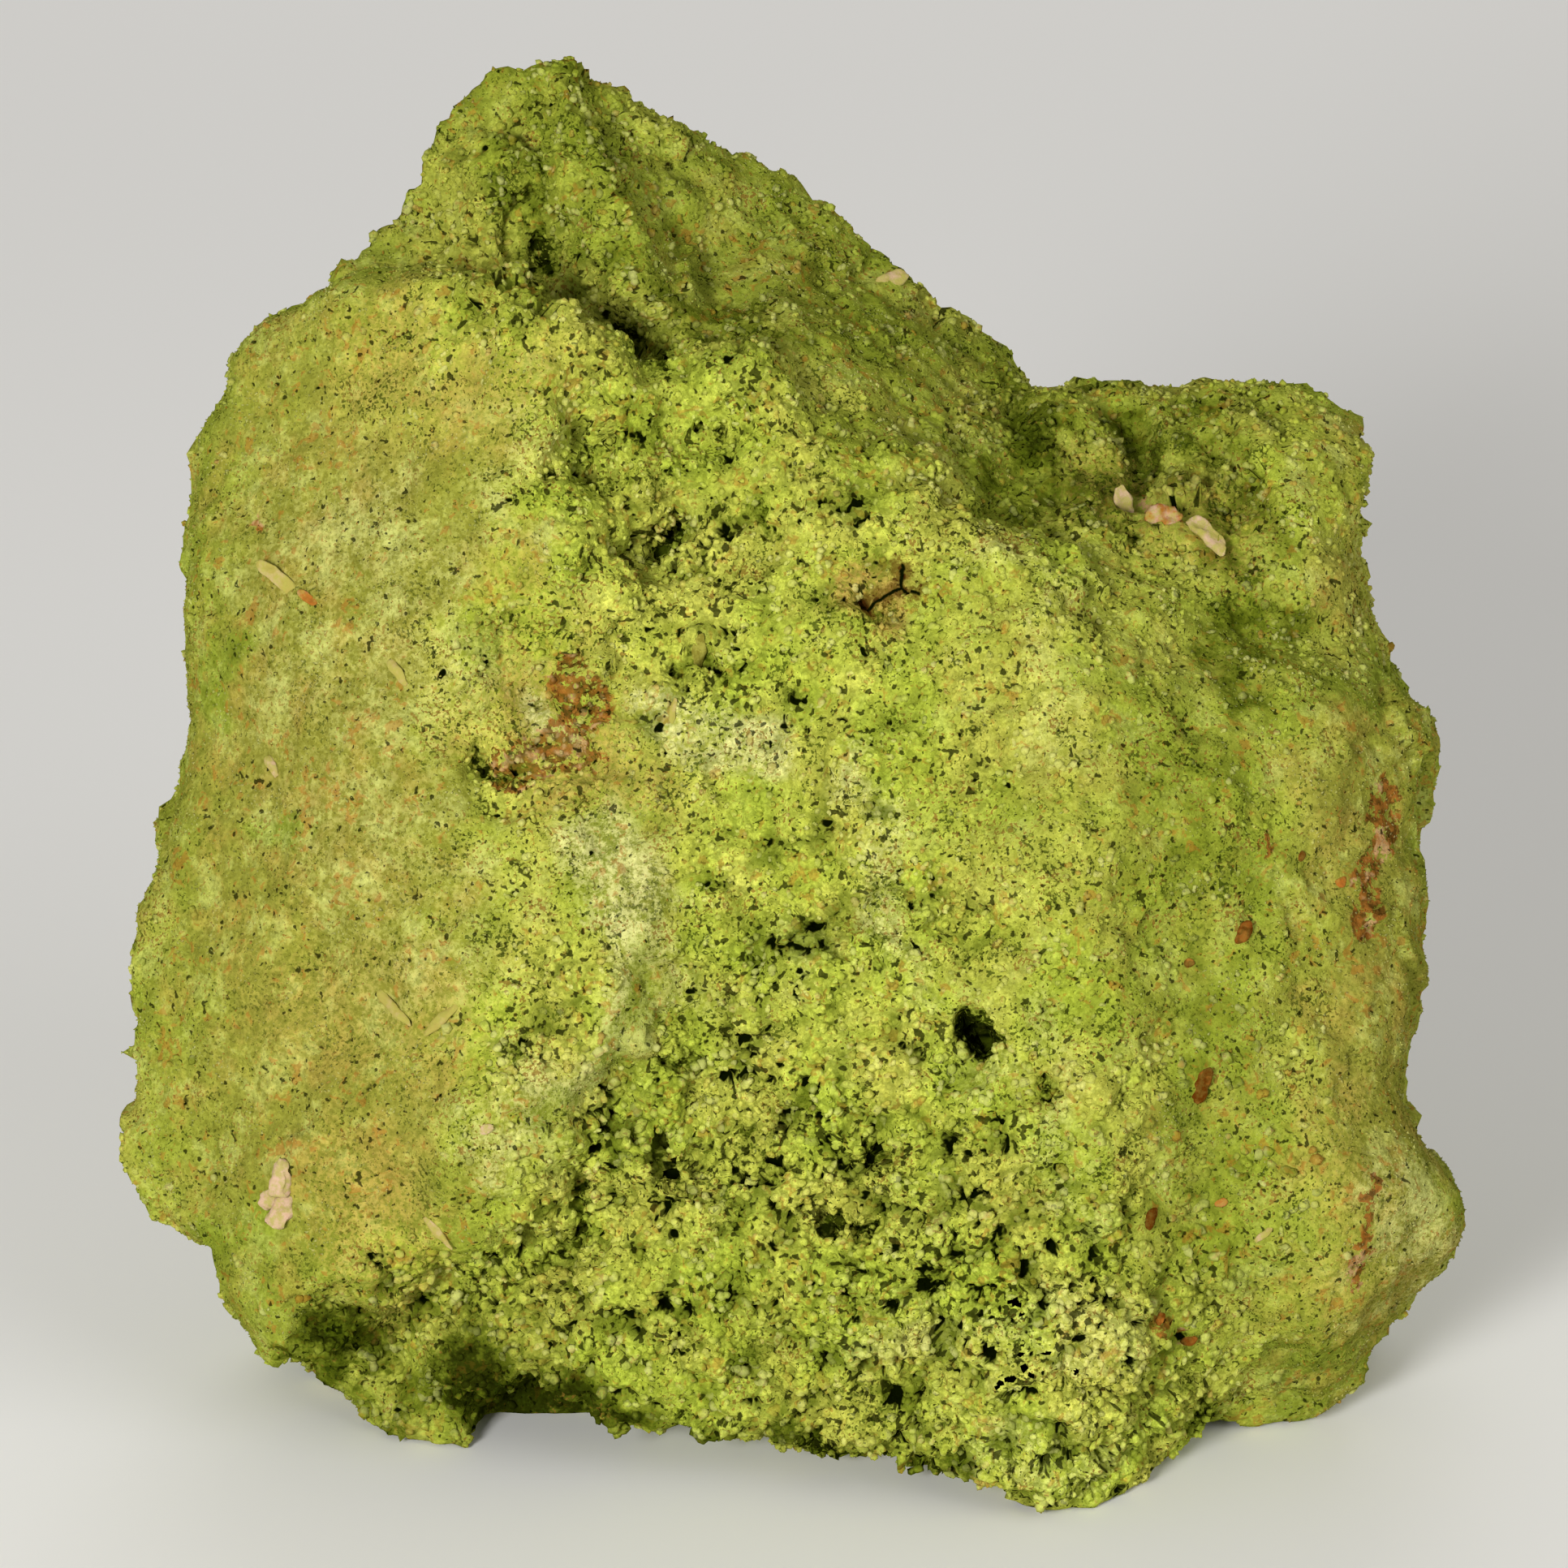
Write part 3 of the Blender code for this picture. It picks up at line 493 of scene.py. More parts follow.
def calc(tree, operation, *values):
    """The output of a math node."""
    return put(tree, "ShaderNodeMath", enumerate(values), operation=operation).outputs[0]


def times(tree, first, second):
    return calc(tree, "MULTIPLY", first, second)


def plus(tree, first, second):
    return calc(tree, "ADD", first, second)


def minus(tree, first, second):
    return calc(tree, "SUBTRACT", first, second)


def vector(tree, operation, *values, output=0):
    """The output of a vector math node."""
    return put(tree, "ShaderNodeVectorMath", enumerate(values), operation=operation).outputs[output]


def scaled(tree, value, factor):
    """A vector, made longer or shorter."""
    return put(tree, "ShaderNodeVectorMath", {0: value, "Scale": factor}, operation="SCALE").outputs[0]


def ramp(tree, value, from_min, from_max, to_min=0.0, to_max=1.0, smooth=True):
    """The output of a node that maps one range to another."""
    ends = {"From Min": from_min, "From Max": from_max, "To Min": to_min, "To Max": to_max}
    kind = "SMOOTHSTEP" if smooth else "LINEAR"
    return put(tree, "ShaderNodeMapRange", {"Value": value} | ends, interpolation_type=kind).outputs[0]


def blend(tree, share, first, second, blend_type="MIX"):
    """The colour output of a node that mixes two colours."""
    inputs = {0: share, 6: first, 7: second}
    return put(tree, "ShaderNodeMix", inputs, data_type="RGBA", blend_type=blend_type).outputs[2]


def cloud(tree, point, size, detail=2.0, roughness=0.5, distortion=0.0):
    """A soft pattern with patches of this size in millimetres, from 0 to 1 about one half."""
    inputs = {
        "Vector": point,
        "Scale": 1.0 / size,
        "Detail": detail,
        "Roughness": roughness,
        "Distortion": distortion,
    }
    return put(tree, "ShaderNodeTexNoise", inputs).outputs[0]


def ragged(tree, point, size, detail, roughness, amount):
    """A soft pattern that goes up and down from 0, by half of the amount each way."""
    return times(tree, minus(tree, cloud(tree, point, size, detail, roughness), 0.5), amount)


def cell_node(tree, point, size):
    """A pattern of cells of this size in millimetres."""
    inputs = {"Vector": point, "Scale": 1.0 / size, "Randomness": 1.0}
    return put(tree, "ShaderNodeTexVoronoi", inputs, feature="F1")


def cells(tree, point, size):
    """How far each place is from the middle of its cell."""
    return cell_node(tree, point, size).outputs["Distance"]


def ledges(tree, point, size):
    """The height of tilted, broken facets of about this size, up and down from 0."""
    inputs = {"Vector": point, "Scale": 1.4 / size, "Detail": 1.0}
    sway = vector(tree, "SUBTRACT", put(tree, "ShaderNodeTexNoise", inputs).outputs["Color"], (0.5,) * 3)
    swayed = vector(tree, "ADD", point, scaled(tree, sway, size))
    facet = cell_node(tree, swayed, size)
    tilt = vector(tree, "SUBTRACT", facet.outputs["Color"], (0.5,) * 3)
    across = vector(tree, "SUBTRACT", swayed, facet.outputs["Position"])
    return vector(tree, "DOT_PRODUCT", across, tilt, output="Value")


def new_group(name, kind, inputs, outputs):
    """An empty node group with named inputs and outputs, and its two end nodes."""
    group = bpy.data.node_groups.new(name, kind)
    for way, sockets in (("INPUT", inputs), ("OUTPUT", outputs)):
        for socket, form in sockets.items():
            group.interface.new_socket(socket, in_out=way, socket_type="NodeSocket" + form)
    return group, group.nodes.new("NodeGroupInput"), group.nodes.new("NodeGroupOutput")


def pore_group(kind):
    """The pores of the clay, wide and fine. The same group shapes the skin and gives where its pores are
    painted as shade.
    """
    name = "pores_shape" if kind == "GeometryNodeTree" else "pores_painted_shade"
    sockets = {"Point": "Vector", "Crumbly": "Float"}
    group, start, end = new_group(name, kind, sockets, {"Pores": "Float", "Depth": "Float"})
    point = start.outputs["Point"]
    crumbly = start.outputs["Crumbly"]
    gather = ramp(group, cloud(group, point, 3.4, 1.0), 0.3, 0.7, -0.04, 0.04, smooth=False)
    wide_limit = plus(group, ramp(group, crumbly, 0.3, 1.0, 0.22, 0.39, smooth=False), gather)
    fine_limit = plus(group, ramp(group, crumbly, 0.1, 1.0, 0.335, 0.425, smooth=False), gather)
    between = minus(group, 0.42, cells(group, point, CLOD_SIZE))
    wide_noise = cloud(group, point, 0.8, 2.0, 0.55, 0.3)
    wide_noise = plus(group, wide_noise, times(group, between, 0.2))
    fine_noise = cloud(group, point, 0.42, 1.5, 0.6)
    wide = ramp(group, wide_noise, minus(group, wide_limit, 0.06), wide_limit, 1.0, 0.0)
    fine = ramp(group, fine_noise, minus(group, fine_limit, 0.045), fine_limit, 1.0, 0.0)
    pores = calc(group, "MAXIMUM", wide, times(group, fine, 0.85))
    depth = plus(group, times(group, wide, 0.5), times(group, fine, 0.15))
    group.links.new(pores, end.inputs["Pores"])
    group.links.new(depth, end.inputs["Depth"])
    return group


# Shapes made by nodes


def new_shaper(name):
    """An empty tree of geometry nodes, and its two end nodes."""
    sockets = {"Geometry": "Geometry"}
    return new_group(name, "GeometryNodeTree", sockets, sockets)


def read_value(tree, name):
    """The output of a node that reads a value kept in the mesh."""
    return put(tree, "GeometryNodeInputNamedAttribute", {"Name": name}, data_type="FLOAT").outputs[0]


def store_value(tree, flow, name, value, kind="FLOAT", domain="POINT"):
    """The mesh as it leaves a node that keeps a value in it."""
    inputs = {"Geometry": flow, "Name": name, "Value": value}
    return put(tree, "GeometryNodeStoreNamedAttribute", inputs, data_type=kind, domain=domain).outputs[0]


def draw(tree, seed):
    """The output of a node that draws a number from 0 to 1 for each crumb."""
    return put(tree, "FunctionNodeRandomValue", {"Seed": seed}, data_type="FLOAT").outputs[1]


def relief(tree, point, pore_depth):
    """How far each place rises, in millimetres: ledges, swells, clods and lumps, less its pores."""
    crumbly = read_value(tree, "crumbly")
    lift = times(tree, ledges(tree, point, LEDGE_SIZE), LEDGE_RISE)
    lift = plus(tree, lift, times(tree, ledges(tree, point, SMALL_LEDGE_SIZE), SMALL_LEDGE_RISE))
    lift = plus(tree, lift, ragged(tree, point, SWELL_SIZE, 2.0, 0.5, SWELL_RISE))
    lift = times(tree, lift, read_value(tree, "broken"))
    fine = ramp(tree, read_value(tree, "shown"), 0.25, 0.5)
    clods = minus(tree, 0.5, cells(tree, point, CLOD_SIZE))
    lumps = times(tree, minus(tree, 0.5, cells(tree, point, LUMP_SIZE)), fine)
    mixed = plus(tree, times(tree, clods, CLOD_RISE), times(tree, lumps, LUMP_RISE))
    rise = times(tree, mixed, ramp(tree, crumbly, 0.0, 1.0, 0.14, 0.8, smooth=False))
    lift = minus(tree, plus(tree, lift, rise), times(tree, pore_depth, fine))
    height = put(tree, "ShaderNodeSeparateXYZ", {"Vector": point}).outputs["Z"]
    return times(tree, lift, ramp(tree, height, 0.0, FOOT_HEIGHT, 0.15, 1.0))


def rough_clay_tree():
    """Geometry nodes that give the skin its relief, and keep its pores and where each place was."""
    tree, start, end = new_shaper("rough_clay")
    point = scaled(tree, put(tree, "GeometryNodeInputPosition").outputs[0], 1.0 / MM)
    inputs = {"Point": point, "Crumbly": read_value(tree, "crumbly")}
    pores = put(tree, "GeometryNodeGroup", inputs, node_tree=pore_group("GeometryNodeTree"))
    lift = relief(tree, point, pores.outputs["Depth"])
    step = scaled(tree, put(tree, "GeometryNodeInputNormal").outputs[0], times(tree, lift, MM))
    flow = store_value(tree, start.outputs[0], "rest_point", point, kind="FLOAT_VECTOR")
    flow = store_value(tree, flow, "pitted", pores.outputs["Pores"])
    moved = put(tree, "GeometryNodeSetPosition", {"Geometry": flow, "Offset": step})
    tree.links.new(moved.outputs[0], end.inputs[0])
    return tree


def scatter_tree(name, shapes, strewn):
    """Geometry nodes that leave only crumbs, strewn over the mesh where its value "where" lets them."""
    tree, start, end = new_shaper(name)
    inputs = {
        "Mesh": start.outputs[0],
        "Distance Min": strewn.spacing * MM,
        "Density Max": strewn.most / MM**2,
        "Density Factor": read_value(tree, "where"),
        "Seed": strewn.seed,
    }
    spread = put(tree, "GeometryNodeDistributePointsOnFaces", inputs, distribute_method="POISSON")
    drawn = calc(tree, "POWER", draw(tree, strewn.seed + 1), 2.0)
    size = ramp(tree, drawn, 0.0, 1.0, strewn.smallest, strewn.largest, smooth=False)
    step = scaled(tree, spread.outputs["Normal"], times(tree, size, -strewn.sunk * MM))
    sunken = put(tree, "GeometryNodeSetPosition", {"Geometry": spread.outputs["Points"], "Offset": step})
    joined = tree.nodes.new("GeometryNodeJoinGeometry")
    for shape in shapes:
        info = put(tree, "GeometryNodeObjectInfo", {"Object": shape, "As Instance": True})
        tree.links.new(info.outputs["Geometry"], joined.inputs[0])
    inputs = {
        0: (-strewn.tilt, -strewn.tilt, 0.0),
        1: (strewn.tilt, strewn.tilt, 2.0 * math.pi),
        "Seed": strewn.seed + 2,
    }
    spin = put(tree, "FunctionNodeRandomValue", inputs, data_type="FLOAT_VECTOR").outputs[0]
    inputs = {"Rotation": spread.outputs["Rotation"], "Rotate By": spin}
    turn = put(tree, "FunctionNodeRotateRotation", inputs, rotation_space="LOCAL").outputs[0]
    inputs = {
        "Points": sunken.outputs[0],
        "Instance": joined.outputs[0],
        "Pick Instance": True,
        "Rotation": turn,
        "Scale": size,
    }
    placed = put(tree, "GeometryNodeInstanceOnPoints", inputs).outputs[0]
    toned = store_value(tree, placed, "tone", draw(tree, strewn.seed + 3), domain="INSTANCE")
    real = put(tree, "GeometryNodeRealizeInstances", {"Geometry": toned})
    tree.links.new(real.outputs[0], end.inputs[0])
    return tree


# Finishes


def tint(red, green, blue):
    """A colour given as it looks, from 0 to 255, in the linear values that shaders use."""
    shares = [value / 255.0 for value in (red, green, blue)]
    return (*[s / 12.92 if s <= 0.04045 else ((s + 0.055) / 1.055) ** 2.4 for s in shares], 1.0)


FRESH_GREEN = tint(198, 215, 78)
YELLOW_CLAY = tint(212, 212, 96)
DUSTY_CLAY = tint(141, 138, 57)
# Mossy and olive clay: green clay, and also painted shade where the green value is high
MOSSY_CLAY = tint(129, 145, 49)
PALE_LIME = tint(190, 196, 108)
OLIVE_CLAY = tint(136, 147, 45)
# The clay's own deep green, and painted shade in hollows, between the clods and where shade falls
DEEP_GREEN_AND_SHADE = tint(86, 98, 18)
# Painted shade in the crevices between crumbs
CREVICE_SHADE = tint(62, 76, 10)
SPECK_GREEN = tint(46, 58, 9)
# Near-black painted shadow for pores, deep hollows, the crack and the darkest shade, with a trace of
# green
SHADOW_BLACK = tint(10, 15, 1)
PALE_DUST = tint(208, 206, 134)
TAN_CLAY = tint(184, 158, 78)
RUST_BROWN = tint(142, 86, 34)
RUST_DARK = tint(82, 46, 14)
RUST_PINK = tint(186, 148, 104)
SPECK_RED = tint(150, 94, 32)
SPECK_BROWN = tint(122, 92, 36)
CREAM = tint(160, 146, 72)
SMUDGE = tint(158, 154, 70)
SOFT_SHADE = tint(186, 184, 152)
CHIP_OLIVE = tint(112, 104, 34)
CHIP_PINK = tint(196, 162, 140)
CHIP_ORANGE = tint(158, 92, 34)
CHIP_RUST = tint(82, 38, 2)


# The values that the skin and its crumbs keep for the clay's colour, which the material reads
# The green value also carries painted shade, and the dust value painted light, beside the clay's own
# colours
CLAY_VALUES = ("Crumbly", "Green", "Dust", "Tan", "Rust", "Sunk")


def bare_clay(group, given, mottle, soft):
    """The colour of fresh and dusty clay, with its stains, its pale lime, its green places and its
    painted shade.
    """
    point, crumbly, green = given["Point"], given["Crumbly"], given["Green"]
    patches = ramp(group, cloud(group, point, 5.0, 2.0), 0.35, 0.65)
    colour = blend(group, patches, FRESH_GREEN, YELLOW_CLAY)
    # Mossy clay where the green value is higher, which is partly painted shade
    dusty = blend(group, ramp(group, green, 0.1, 0.4), DUSTY_CLAY, MOSSY_CLAY)
    colour = blend(group, ramp(group, crumbly, 0.1, 0.6, 0.9, 0.0), colour, dusty)
    stains = ramp(group, cloud(group, point, 2.4, 3.0, 0.7), 0.44, 0.7)
    stains = times(group, stains, ramp(group, crumbly, 0.1, 0.7, 0.55, 0.15))
    colour = blend(group, stains, colour, TAN_CLAY)
    limy = ramp(group, soft, 0.55, 1.0, 0.0, 0.5)
    limy = times(group, limy, ramp(group, crumbly, 0.3, 0.7, 1.0, 0.2))
    colour = blend(group, limy, colour, PALE_LIME)
    # Painted shade: the green value turns the clay olive, then deep green, then near black where shade
    # falls
    greener_and_shaded = ramp(group, green, 0.0, 0.7, 0.0, 0.9, smooth=False)
    greener_and_shaded = times(group, greener_and_shaded, ramp(group, patches, 0.0, 1.0, 1.0, 0.6))
    colour = blend(group, greener_and_shaded, colour, OLIVE_CLAY)
    deep_green_and_shade = plus(group, green, ramp(group, mottle, 0.0, 1.0, -0.15, 0.15))
    deep_green_and_shade = times(group, deep_green_and_shade, ramp(group, soft, 0.0, 1.0, 1.35, 0.7))
    colour = blend(group, ramp(group, deep_green_and_shade, 0.55, 1.1, 0.0, 0.9), colour, DEEP_GREEN_AND_SHADE)
    return blend(group, ramp(group, deep_green_and_shade, 1.0, 1.6, 0.0, 0.8), colour, SHADOW_BLACK)


def with_dust(group, given, colour, mottle, soft):
    """The colour under tan and pale dust, which is painted light in places, a little greyer in the
    hollows of its mottling.
    """
    tan_edge = plus(group, given["Tan"], minus(group, mottle, 0.5))
    tan = times(group, ramp(group, tan_edge, 0.1, 1.0), given["Tan"])
    colour = blend(group, tan, colour, TAN_CLAY)
    broken = times(group, plus(group, mottle, soft), 0.5)
    # Pale dust, which in places is painted light over shaded clay
    dust_edge = times(group, given["Dust"], ramp(group, broken, 0.1, 0.7, 0.4, 1.5))
    dust = times(group, ramp(group, dust_edge, 0.1, 1.3), 0.85)
    colour = blend(group, dust, colour, PALE_DUST)
    greyer = blend(group, 1.0, colour, SOFT_SHADE, "MULTIPLY")
    colour = blend(group, ramp(group, mottle, 0.1, 0.8, 0.6, 0.0), colour, greyer)
    return blend(group, ramp(group, soft, 0.0, 1.0, 0.35, 0.0), colour, greyer)


def with_rust(group, given, colour):
    """The colour with its rust, which is brown, dark or pink from place to place."""
    point = given["Point"]
    grit = ramp(group, cloud(group, point, 0.6, 3.0, 0.7), 0.36, 0.6, 0.05, 1.4)
    rusty = ramp(group, times(group, given["Rust"], grit), 0.28, 0.5)
    dark = ramp(group, cloud(group, point, 0.5, 2.0), 0.4, 0.62)
    pink = ramp(group, cloud(group, point, 1.1, 2.0), 0.54, 0.64, 0.0, 0.8)
    rust = blend(group, pink, blend(group, dark, RUST_BROWN, RUST_DARK), RUST_PINK)
    return blend(group, times(group, rusty, 0.9), colour, rust)


def with_specks(group, given, colour, soft):
    """The colour with its red, green and brown specks, which gather here and there."""
    point, crumbly = given["Point"], given["Crumbly"]
    gather = ramp(group, cloud(group, point, 2.6, 2.0, 0.65), 0.35, 0.65, 0.1, -0.12, smooth=False)
    limit = minus(group, 0.61, gather)
    red = ramp(group, cloud(group, point, 0.6, 2.0, 0.6, 0.6), limit, plus(group, limit, 0.08))
    red = times(group, red, ramp(group, given["Green"], 0.5, 1.0, 0.5, 0.08))
    colour = blend(group, red, colour, SPECK_RED)
    limit = plus(group, ramp(group, crumbly, 0.1, 0.35, 0.65, 0.615), gather)
    specks = ramp(group, cloud(group, point, 0.2, 1.5, 0.6), limit, plus(group, limit, 0.08))
    specks = times(group, specks, ramp(group, crumbly, 0.05, 0.35, 0.6, 0.85))
    hue = blend(group, ramp(group, soft, 0.45, 0.75), SPECK_GREEN, SPECK_BROWN)
    return blend(group, specks, colour, hue)


def with_grit(group, given, colour):
    """The colour with its grit and blotches, and painted shade where the clay is sunk in hollows."""
    point = given["Point"]
    grit = ramp(group, cloud(group, point, 0.2, 2.0, 0.6), 0.36, 0.62, 0.84, 1.08)
    colour = blend(group, ramp(group, given["Crumbly"], 0.2, 0.7, 0.25, 0.9), colour, grit, "MULTIPLY")
    blotches = ramp(group, cloud(group, point, 0.8, 2.0, 0.65), 0.36, 0.64, 0.9, 1.08, smooth=False)
    colour = blend(group, 1.0, colour, blotches, "MULTIPLY")
    # Painted shade in the hollows: deep green, then near black where they sink furthest
    edge = plus(group, ragged(group, point, 0.5, 2.0, 0.6, 4.0), 1.0)
    sunk = times(group, given["Sunk"], edge)
    colour = blend(group, ramp(group, sunk, 0.3, 0.9, 0.0, 0.7), colour, DEEP_GREEN_AND_SHADE)
    return blend(group, ramp(group, sunk, 0.7, 1.1, 0.0, 0.95), colour, SHADOW_BLACK)


def clay_colour_group():
    """The clay's colour before its pores."""
    sockets = {"Point": "Vector"} | {name: "Float" for name in CLAY_VALUES}
    group, start, end = new_group("clay_colour", "ShaderNodeTree", sockets, {"Colour": "Color"})
    given = start.outputs
    mottle = ramp(group, cloud(group, given["Point"], 0.3, 3.0, 0.75), 0.3, 0.7)
    soft = ramp(group, cloud(group, given["Point"], 2.2, 4.0, 0.7), 0.3, 0.7)
    colour = bare_clay(group, given, mottle, soft)
    colour = with_dust(group, given, colour, mottle, soft)
    colour = with_rust(group, given, colour)
    colour = with_specks(group, given, colour, soft)
    colour = with_grit(group, given, colour)
    group.links.new(colour, end.inputs["Colour"])
    return group


def fine_grain_group():
    """The height of the finest grains and of the dust on them, for bump."""
    outputs = {"Height": "Float"}
    group, start, end = new_group("fine_grain", "ShaderNodeTree", {"Point": "Vector"}, outputs)
    point = start.outputs["Point"]
    grains = times(group, minus(group, 1.0, cells(group, point, 0.3)), 0.6)
    dusting = times(group, cloud(group, point, 0.14, 2.0, 0.6), 0.5)
    group.links.new(plus(group, grains, dusting), end.inputs["Height"])
    return group


def line_group():
    """How far a place is from a straight line between two points."""
    sockets = {"Place": "Vector", "From": "Vector", "To": "Vector"}
    group, start, end = new_group("away_from_line", "ShaderNodeTree", sockets, {"Distance": "Float"})
    given = start.outputs
    way = vector(group, "SUBTRACT", given["To"], given["From"])
    here = vector(group, "SUBTRACT", given["Place"], given["From"])
    along = vector(group, "DOT_PRODUCT", here, way, output="Value")
    length = vector(group, "DOT_PRODUCT", way, way, output="Value")
    share = ramp(group, calc(group, "DIVIDE", along, length), 0.0, 1.0, smooth=False)
    distance = vector(group, "DISTANCE", here, scaled(group, way, share), output="Value")
    group.links.new(distance, end.inputs["Distance"])
    return group


def kept(tree, name, output="Fac"):
    """A value that the mesh keeps for each point."""
    return put(tree, "ShaderNodeAttribute", (), attribute_name=name).outputs[output]


def new_finish(name):
    """A new material, its nodes, and the place of each point in millimetres."""
    material = bpy.data.materials.new(name)
    material.use_nodes = True
    tree = material.node_tree
    place = put(tree, "ShaderNodeTexCoord").outputs["Object"]
    return material, tree, scaled(tree, place, 1.0 / MM)


def make_dull(tree, colour, height, roughness, strength, depth):
    """Gives a finish its colour and its dull, bumpy surface. The depth is in millimetres."""
    shader = tree.nodes["Principled BSDF"]
    inputs = {"Strength": strength, "Distance": depth * MM, "Height": height}
    values = {
        "Base Color": colour,
        "Roughness": roughness,
        "Specular IOR Level": 0.0,
        "Normal": put(tree, "ShaderNodeBump", inputs).outputs[0],
    }
    for name, value in values.items():
        feed(tree, shader.inputs[name], value)


def away_from_crack(tree, point, groups):
    """How far each place on the show face is from the three-armed crack, which wavers a little."""
    waves = put(tree, "ShaderNodeTexNoise", {"Vector": point, "Scale": 2.5}).outputs["Color"]
    sway = vector(tree, "SUBTRACT", scaled(tree, waves, 0.3), (0.15,) * 3)
    inputs = {"X": kept(tree, "face_u"), "Y": kept(tree, "face_v")}
    place = vector(tree, "ADD", put(tree, "ShaderNodeCombineXYZ", inputs).outputs[0], sway)
    flat = vector(tree, "MULTIPLY", place, (1.0, 1.0, 0.0))
    arms = []
    for end in CRACK_ENDS:
        inputs = {"Place": flat, "From": (*CRACK_MIDDLE, 0.0), "To": (*end, 0.0)}
        arms.append(put(tree, "ShaderNodeGroup", inputs, node_tree=groups["line"]).outputs["Distance"])
    return calc(tree, "MINIMUM", calc(tree, "MINIMUM", arms[0], arms[1]), arms[2])


def cracked(tree, point, colour, groups):
    """The colour with the brown plate, and the painted shadow along the lines of the crack."""
    away = away_from_crack(tree, point, groups)
    in_front = ramp(tree, kept(tree, "shown"), 0.4, 0.7)
    plate_edge = plus(tree, away, ragged(tree, point, 0.6, 4.0, 0.7, 3.4))
    plate = times(tree, ramp(tree, plate_edge, 0.1, 0.8, 0.7, 0.0), in_front)
    colour = blend(tree, plate, colour, RUST_DARK)
    # Painted shadow in the crack, near black
    line = times(tree, ramp(tree, away, 0.04, 0.13, 1.0, 0.0), in_front)
    return blend(tree, line, colour, SHADOW_BLACK)


def pored(tree, point, colour, height, groups):
    """The colour and the height of the skin, with its crevices, its pores and the crack, and their
    painted shade.
    """
    crumbly = kept(tree, "crumbly")
    # Painted shade along the crevices between crumbs, which also lower the bump
    crevice = plus(tree, cells(tree, point, 0.5), ragged(tree, point, 0.45, 3.0, 0.65, 0.9))
    crevice = times(tree, ramp(tree, crevice, 0.45, 0.62), ramp(tree, crumbly, 0.2, 0.9, 0.0, 0.4))
    colour = blend(tree, crevice, colour, CREVICE_SHADE)
    inputs = {"Point": kept(tree, "rest_point", "Vector"), "Crumbly": crumbly}
    pores = put(tree, "ShaderNodeGroup", inputs, node_tree=groups["pores"]).outputs["Pores"]
    # The pores are painted near black as shade, with a trace of the clay's green
    colour = cracked(tree, point, blend(tree, pores, colour, SHADOW_BLACK), groups)
    hollow = plus(tree, times(tree, pores, 1.2), crevice)
    return colour, minus(tree, height, hollow)


def toned(tree, point, colour):
    """The colour of crumbs, a few of them dark or brown, and paler in patches away from the hollows and
    the painted shade.
    """
    tone = kept(tree, "tone")
    sandy = ramp(tree, kept(tree, "crumbly"), 0.1, 0.7, 1.0, 0.3)
    dark = times(tree, ramp(tree, tone, 0.06, 0.1, 0.5, 0.0), sandy)
    colour = blend(tree, dark, colour, DEEP_GREEN_AND_SHADE)
    # Hollows and painted shade, where crumbs get no pale dust
    deep = calc(tree, "MAXIMUM", kept(tree, "sunk"), minus(tree, kept(tree, "green"), 0.5))
    in_open = ramp(tree, deep, 0.1, 0.6, 1.0, 0.0)
    patches = ramp(tree, cloud(tree, point, 1.8, 3.0, 0.6), 0.5, 0.65, 0.0, 0.3)
    pale = plus(tree, patches, ramp(tree, tone, 0.6, 1.0, 0.0, 0.12))
    colour = blend(tree, times(tree, pale, in_open), colour, PALE_DUST)
    brown = times(tree, ramp(tree, tone, 0.17, 0.18), ramp(tree, tone, 0.22, 0.23, 0.6, 0.0))
    brown = times(tree, times(tree, brown, sandy), in_open)
    return blend(tree, brown, colour, SPECK_RED)


def clay_material(name, is_skin, groups):
    """Dull dry clay. The skin shows its pores, and crumbs have a tone of their own."""
    material, tree, point = new_finish(name)
    inputs = {"Point": point} | {value: kept(tree, value.lower()) for value in CLAY_VALUES}
    clay = put(tree, "ShaderNodeGroup", inputs, node_tree=groups["colour"])
    grain = put(tree, "ShaderNodeGroup", {"Point": point}, node_tree=groups["grain"])
    height = grain.outputs["Height"]
    # Painted shade between the clods, where the relief is lowest
    shade_between_clods = ramp(tree, cells(tree, kept(tree, "rest_point", "Vector"), CLOD_SIZE), 0.48, 0.82, 0.0, 0.75)
    shade_between_clods = times(tree, shade_between_clods, ramp(tree, kept(tree, "crumbly"), 0.4, 0.9))
    colour = blend(tree, shade_between_clods, clay.outputs["Colour"], DEEP_GREEN_AND_SHADE)
    if is_skin:
        colour, height = pored(tree, point, colour, height, groups)
    else:
        colour = toned(tree, point, colour)
    make_dull(tree, colour, height, roughness=0.95, strength=0.55, depth=0.12)
    return material


def chip_material():
    """Dull splinters, from olive through cream and pink to rust, with smudges of clay on them."""
    material, tree, point = new_finish("splinters")
    warmth = kept(tree, "warmth")
    stain = ramp(tree, cloud(tree, point, 0.8, 3.0, 0.6), 0.35, 0.65, -0.12, 0.12)
    warm = plus(tree, warmth, stain)
    colour = CHIP_OLIVE
    for least, most, warmer in (
        (-1.0, 0.0, CREAM),
        (0.0, 0.4, CHIP_PINK),
        (0.4, 0.75, CHIP_ORANGE),
        (0.75, 1.0, CHIP_RUST),
    ):
        colour = blend(tree, ramp(tree, warm, least, most), colour, warmer)
    smudge = ramp(tree, cloud(tree, point, 0.45, 4.0, 0.7), 0.4, 0.62, 0.1, 0.75)
    smudge = times(tree, smudge, ramp(tree, warmth, 0.5, 1.0, 1.0, 0.2))
    colour = blend(tree, smudge, colour, SMUDGE)
    make_dull(tree, colour, cloud(tree, point, 0.25, 2.0, 0.6), roughness=0.8, strength=0.5, depth=0.1)
    return material


# Pieces


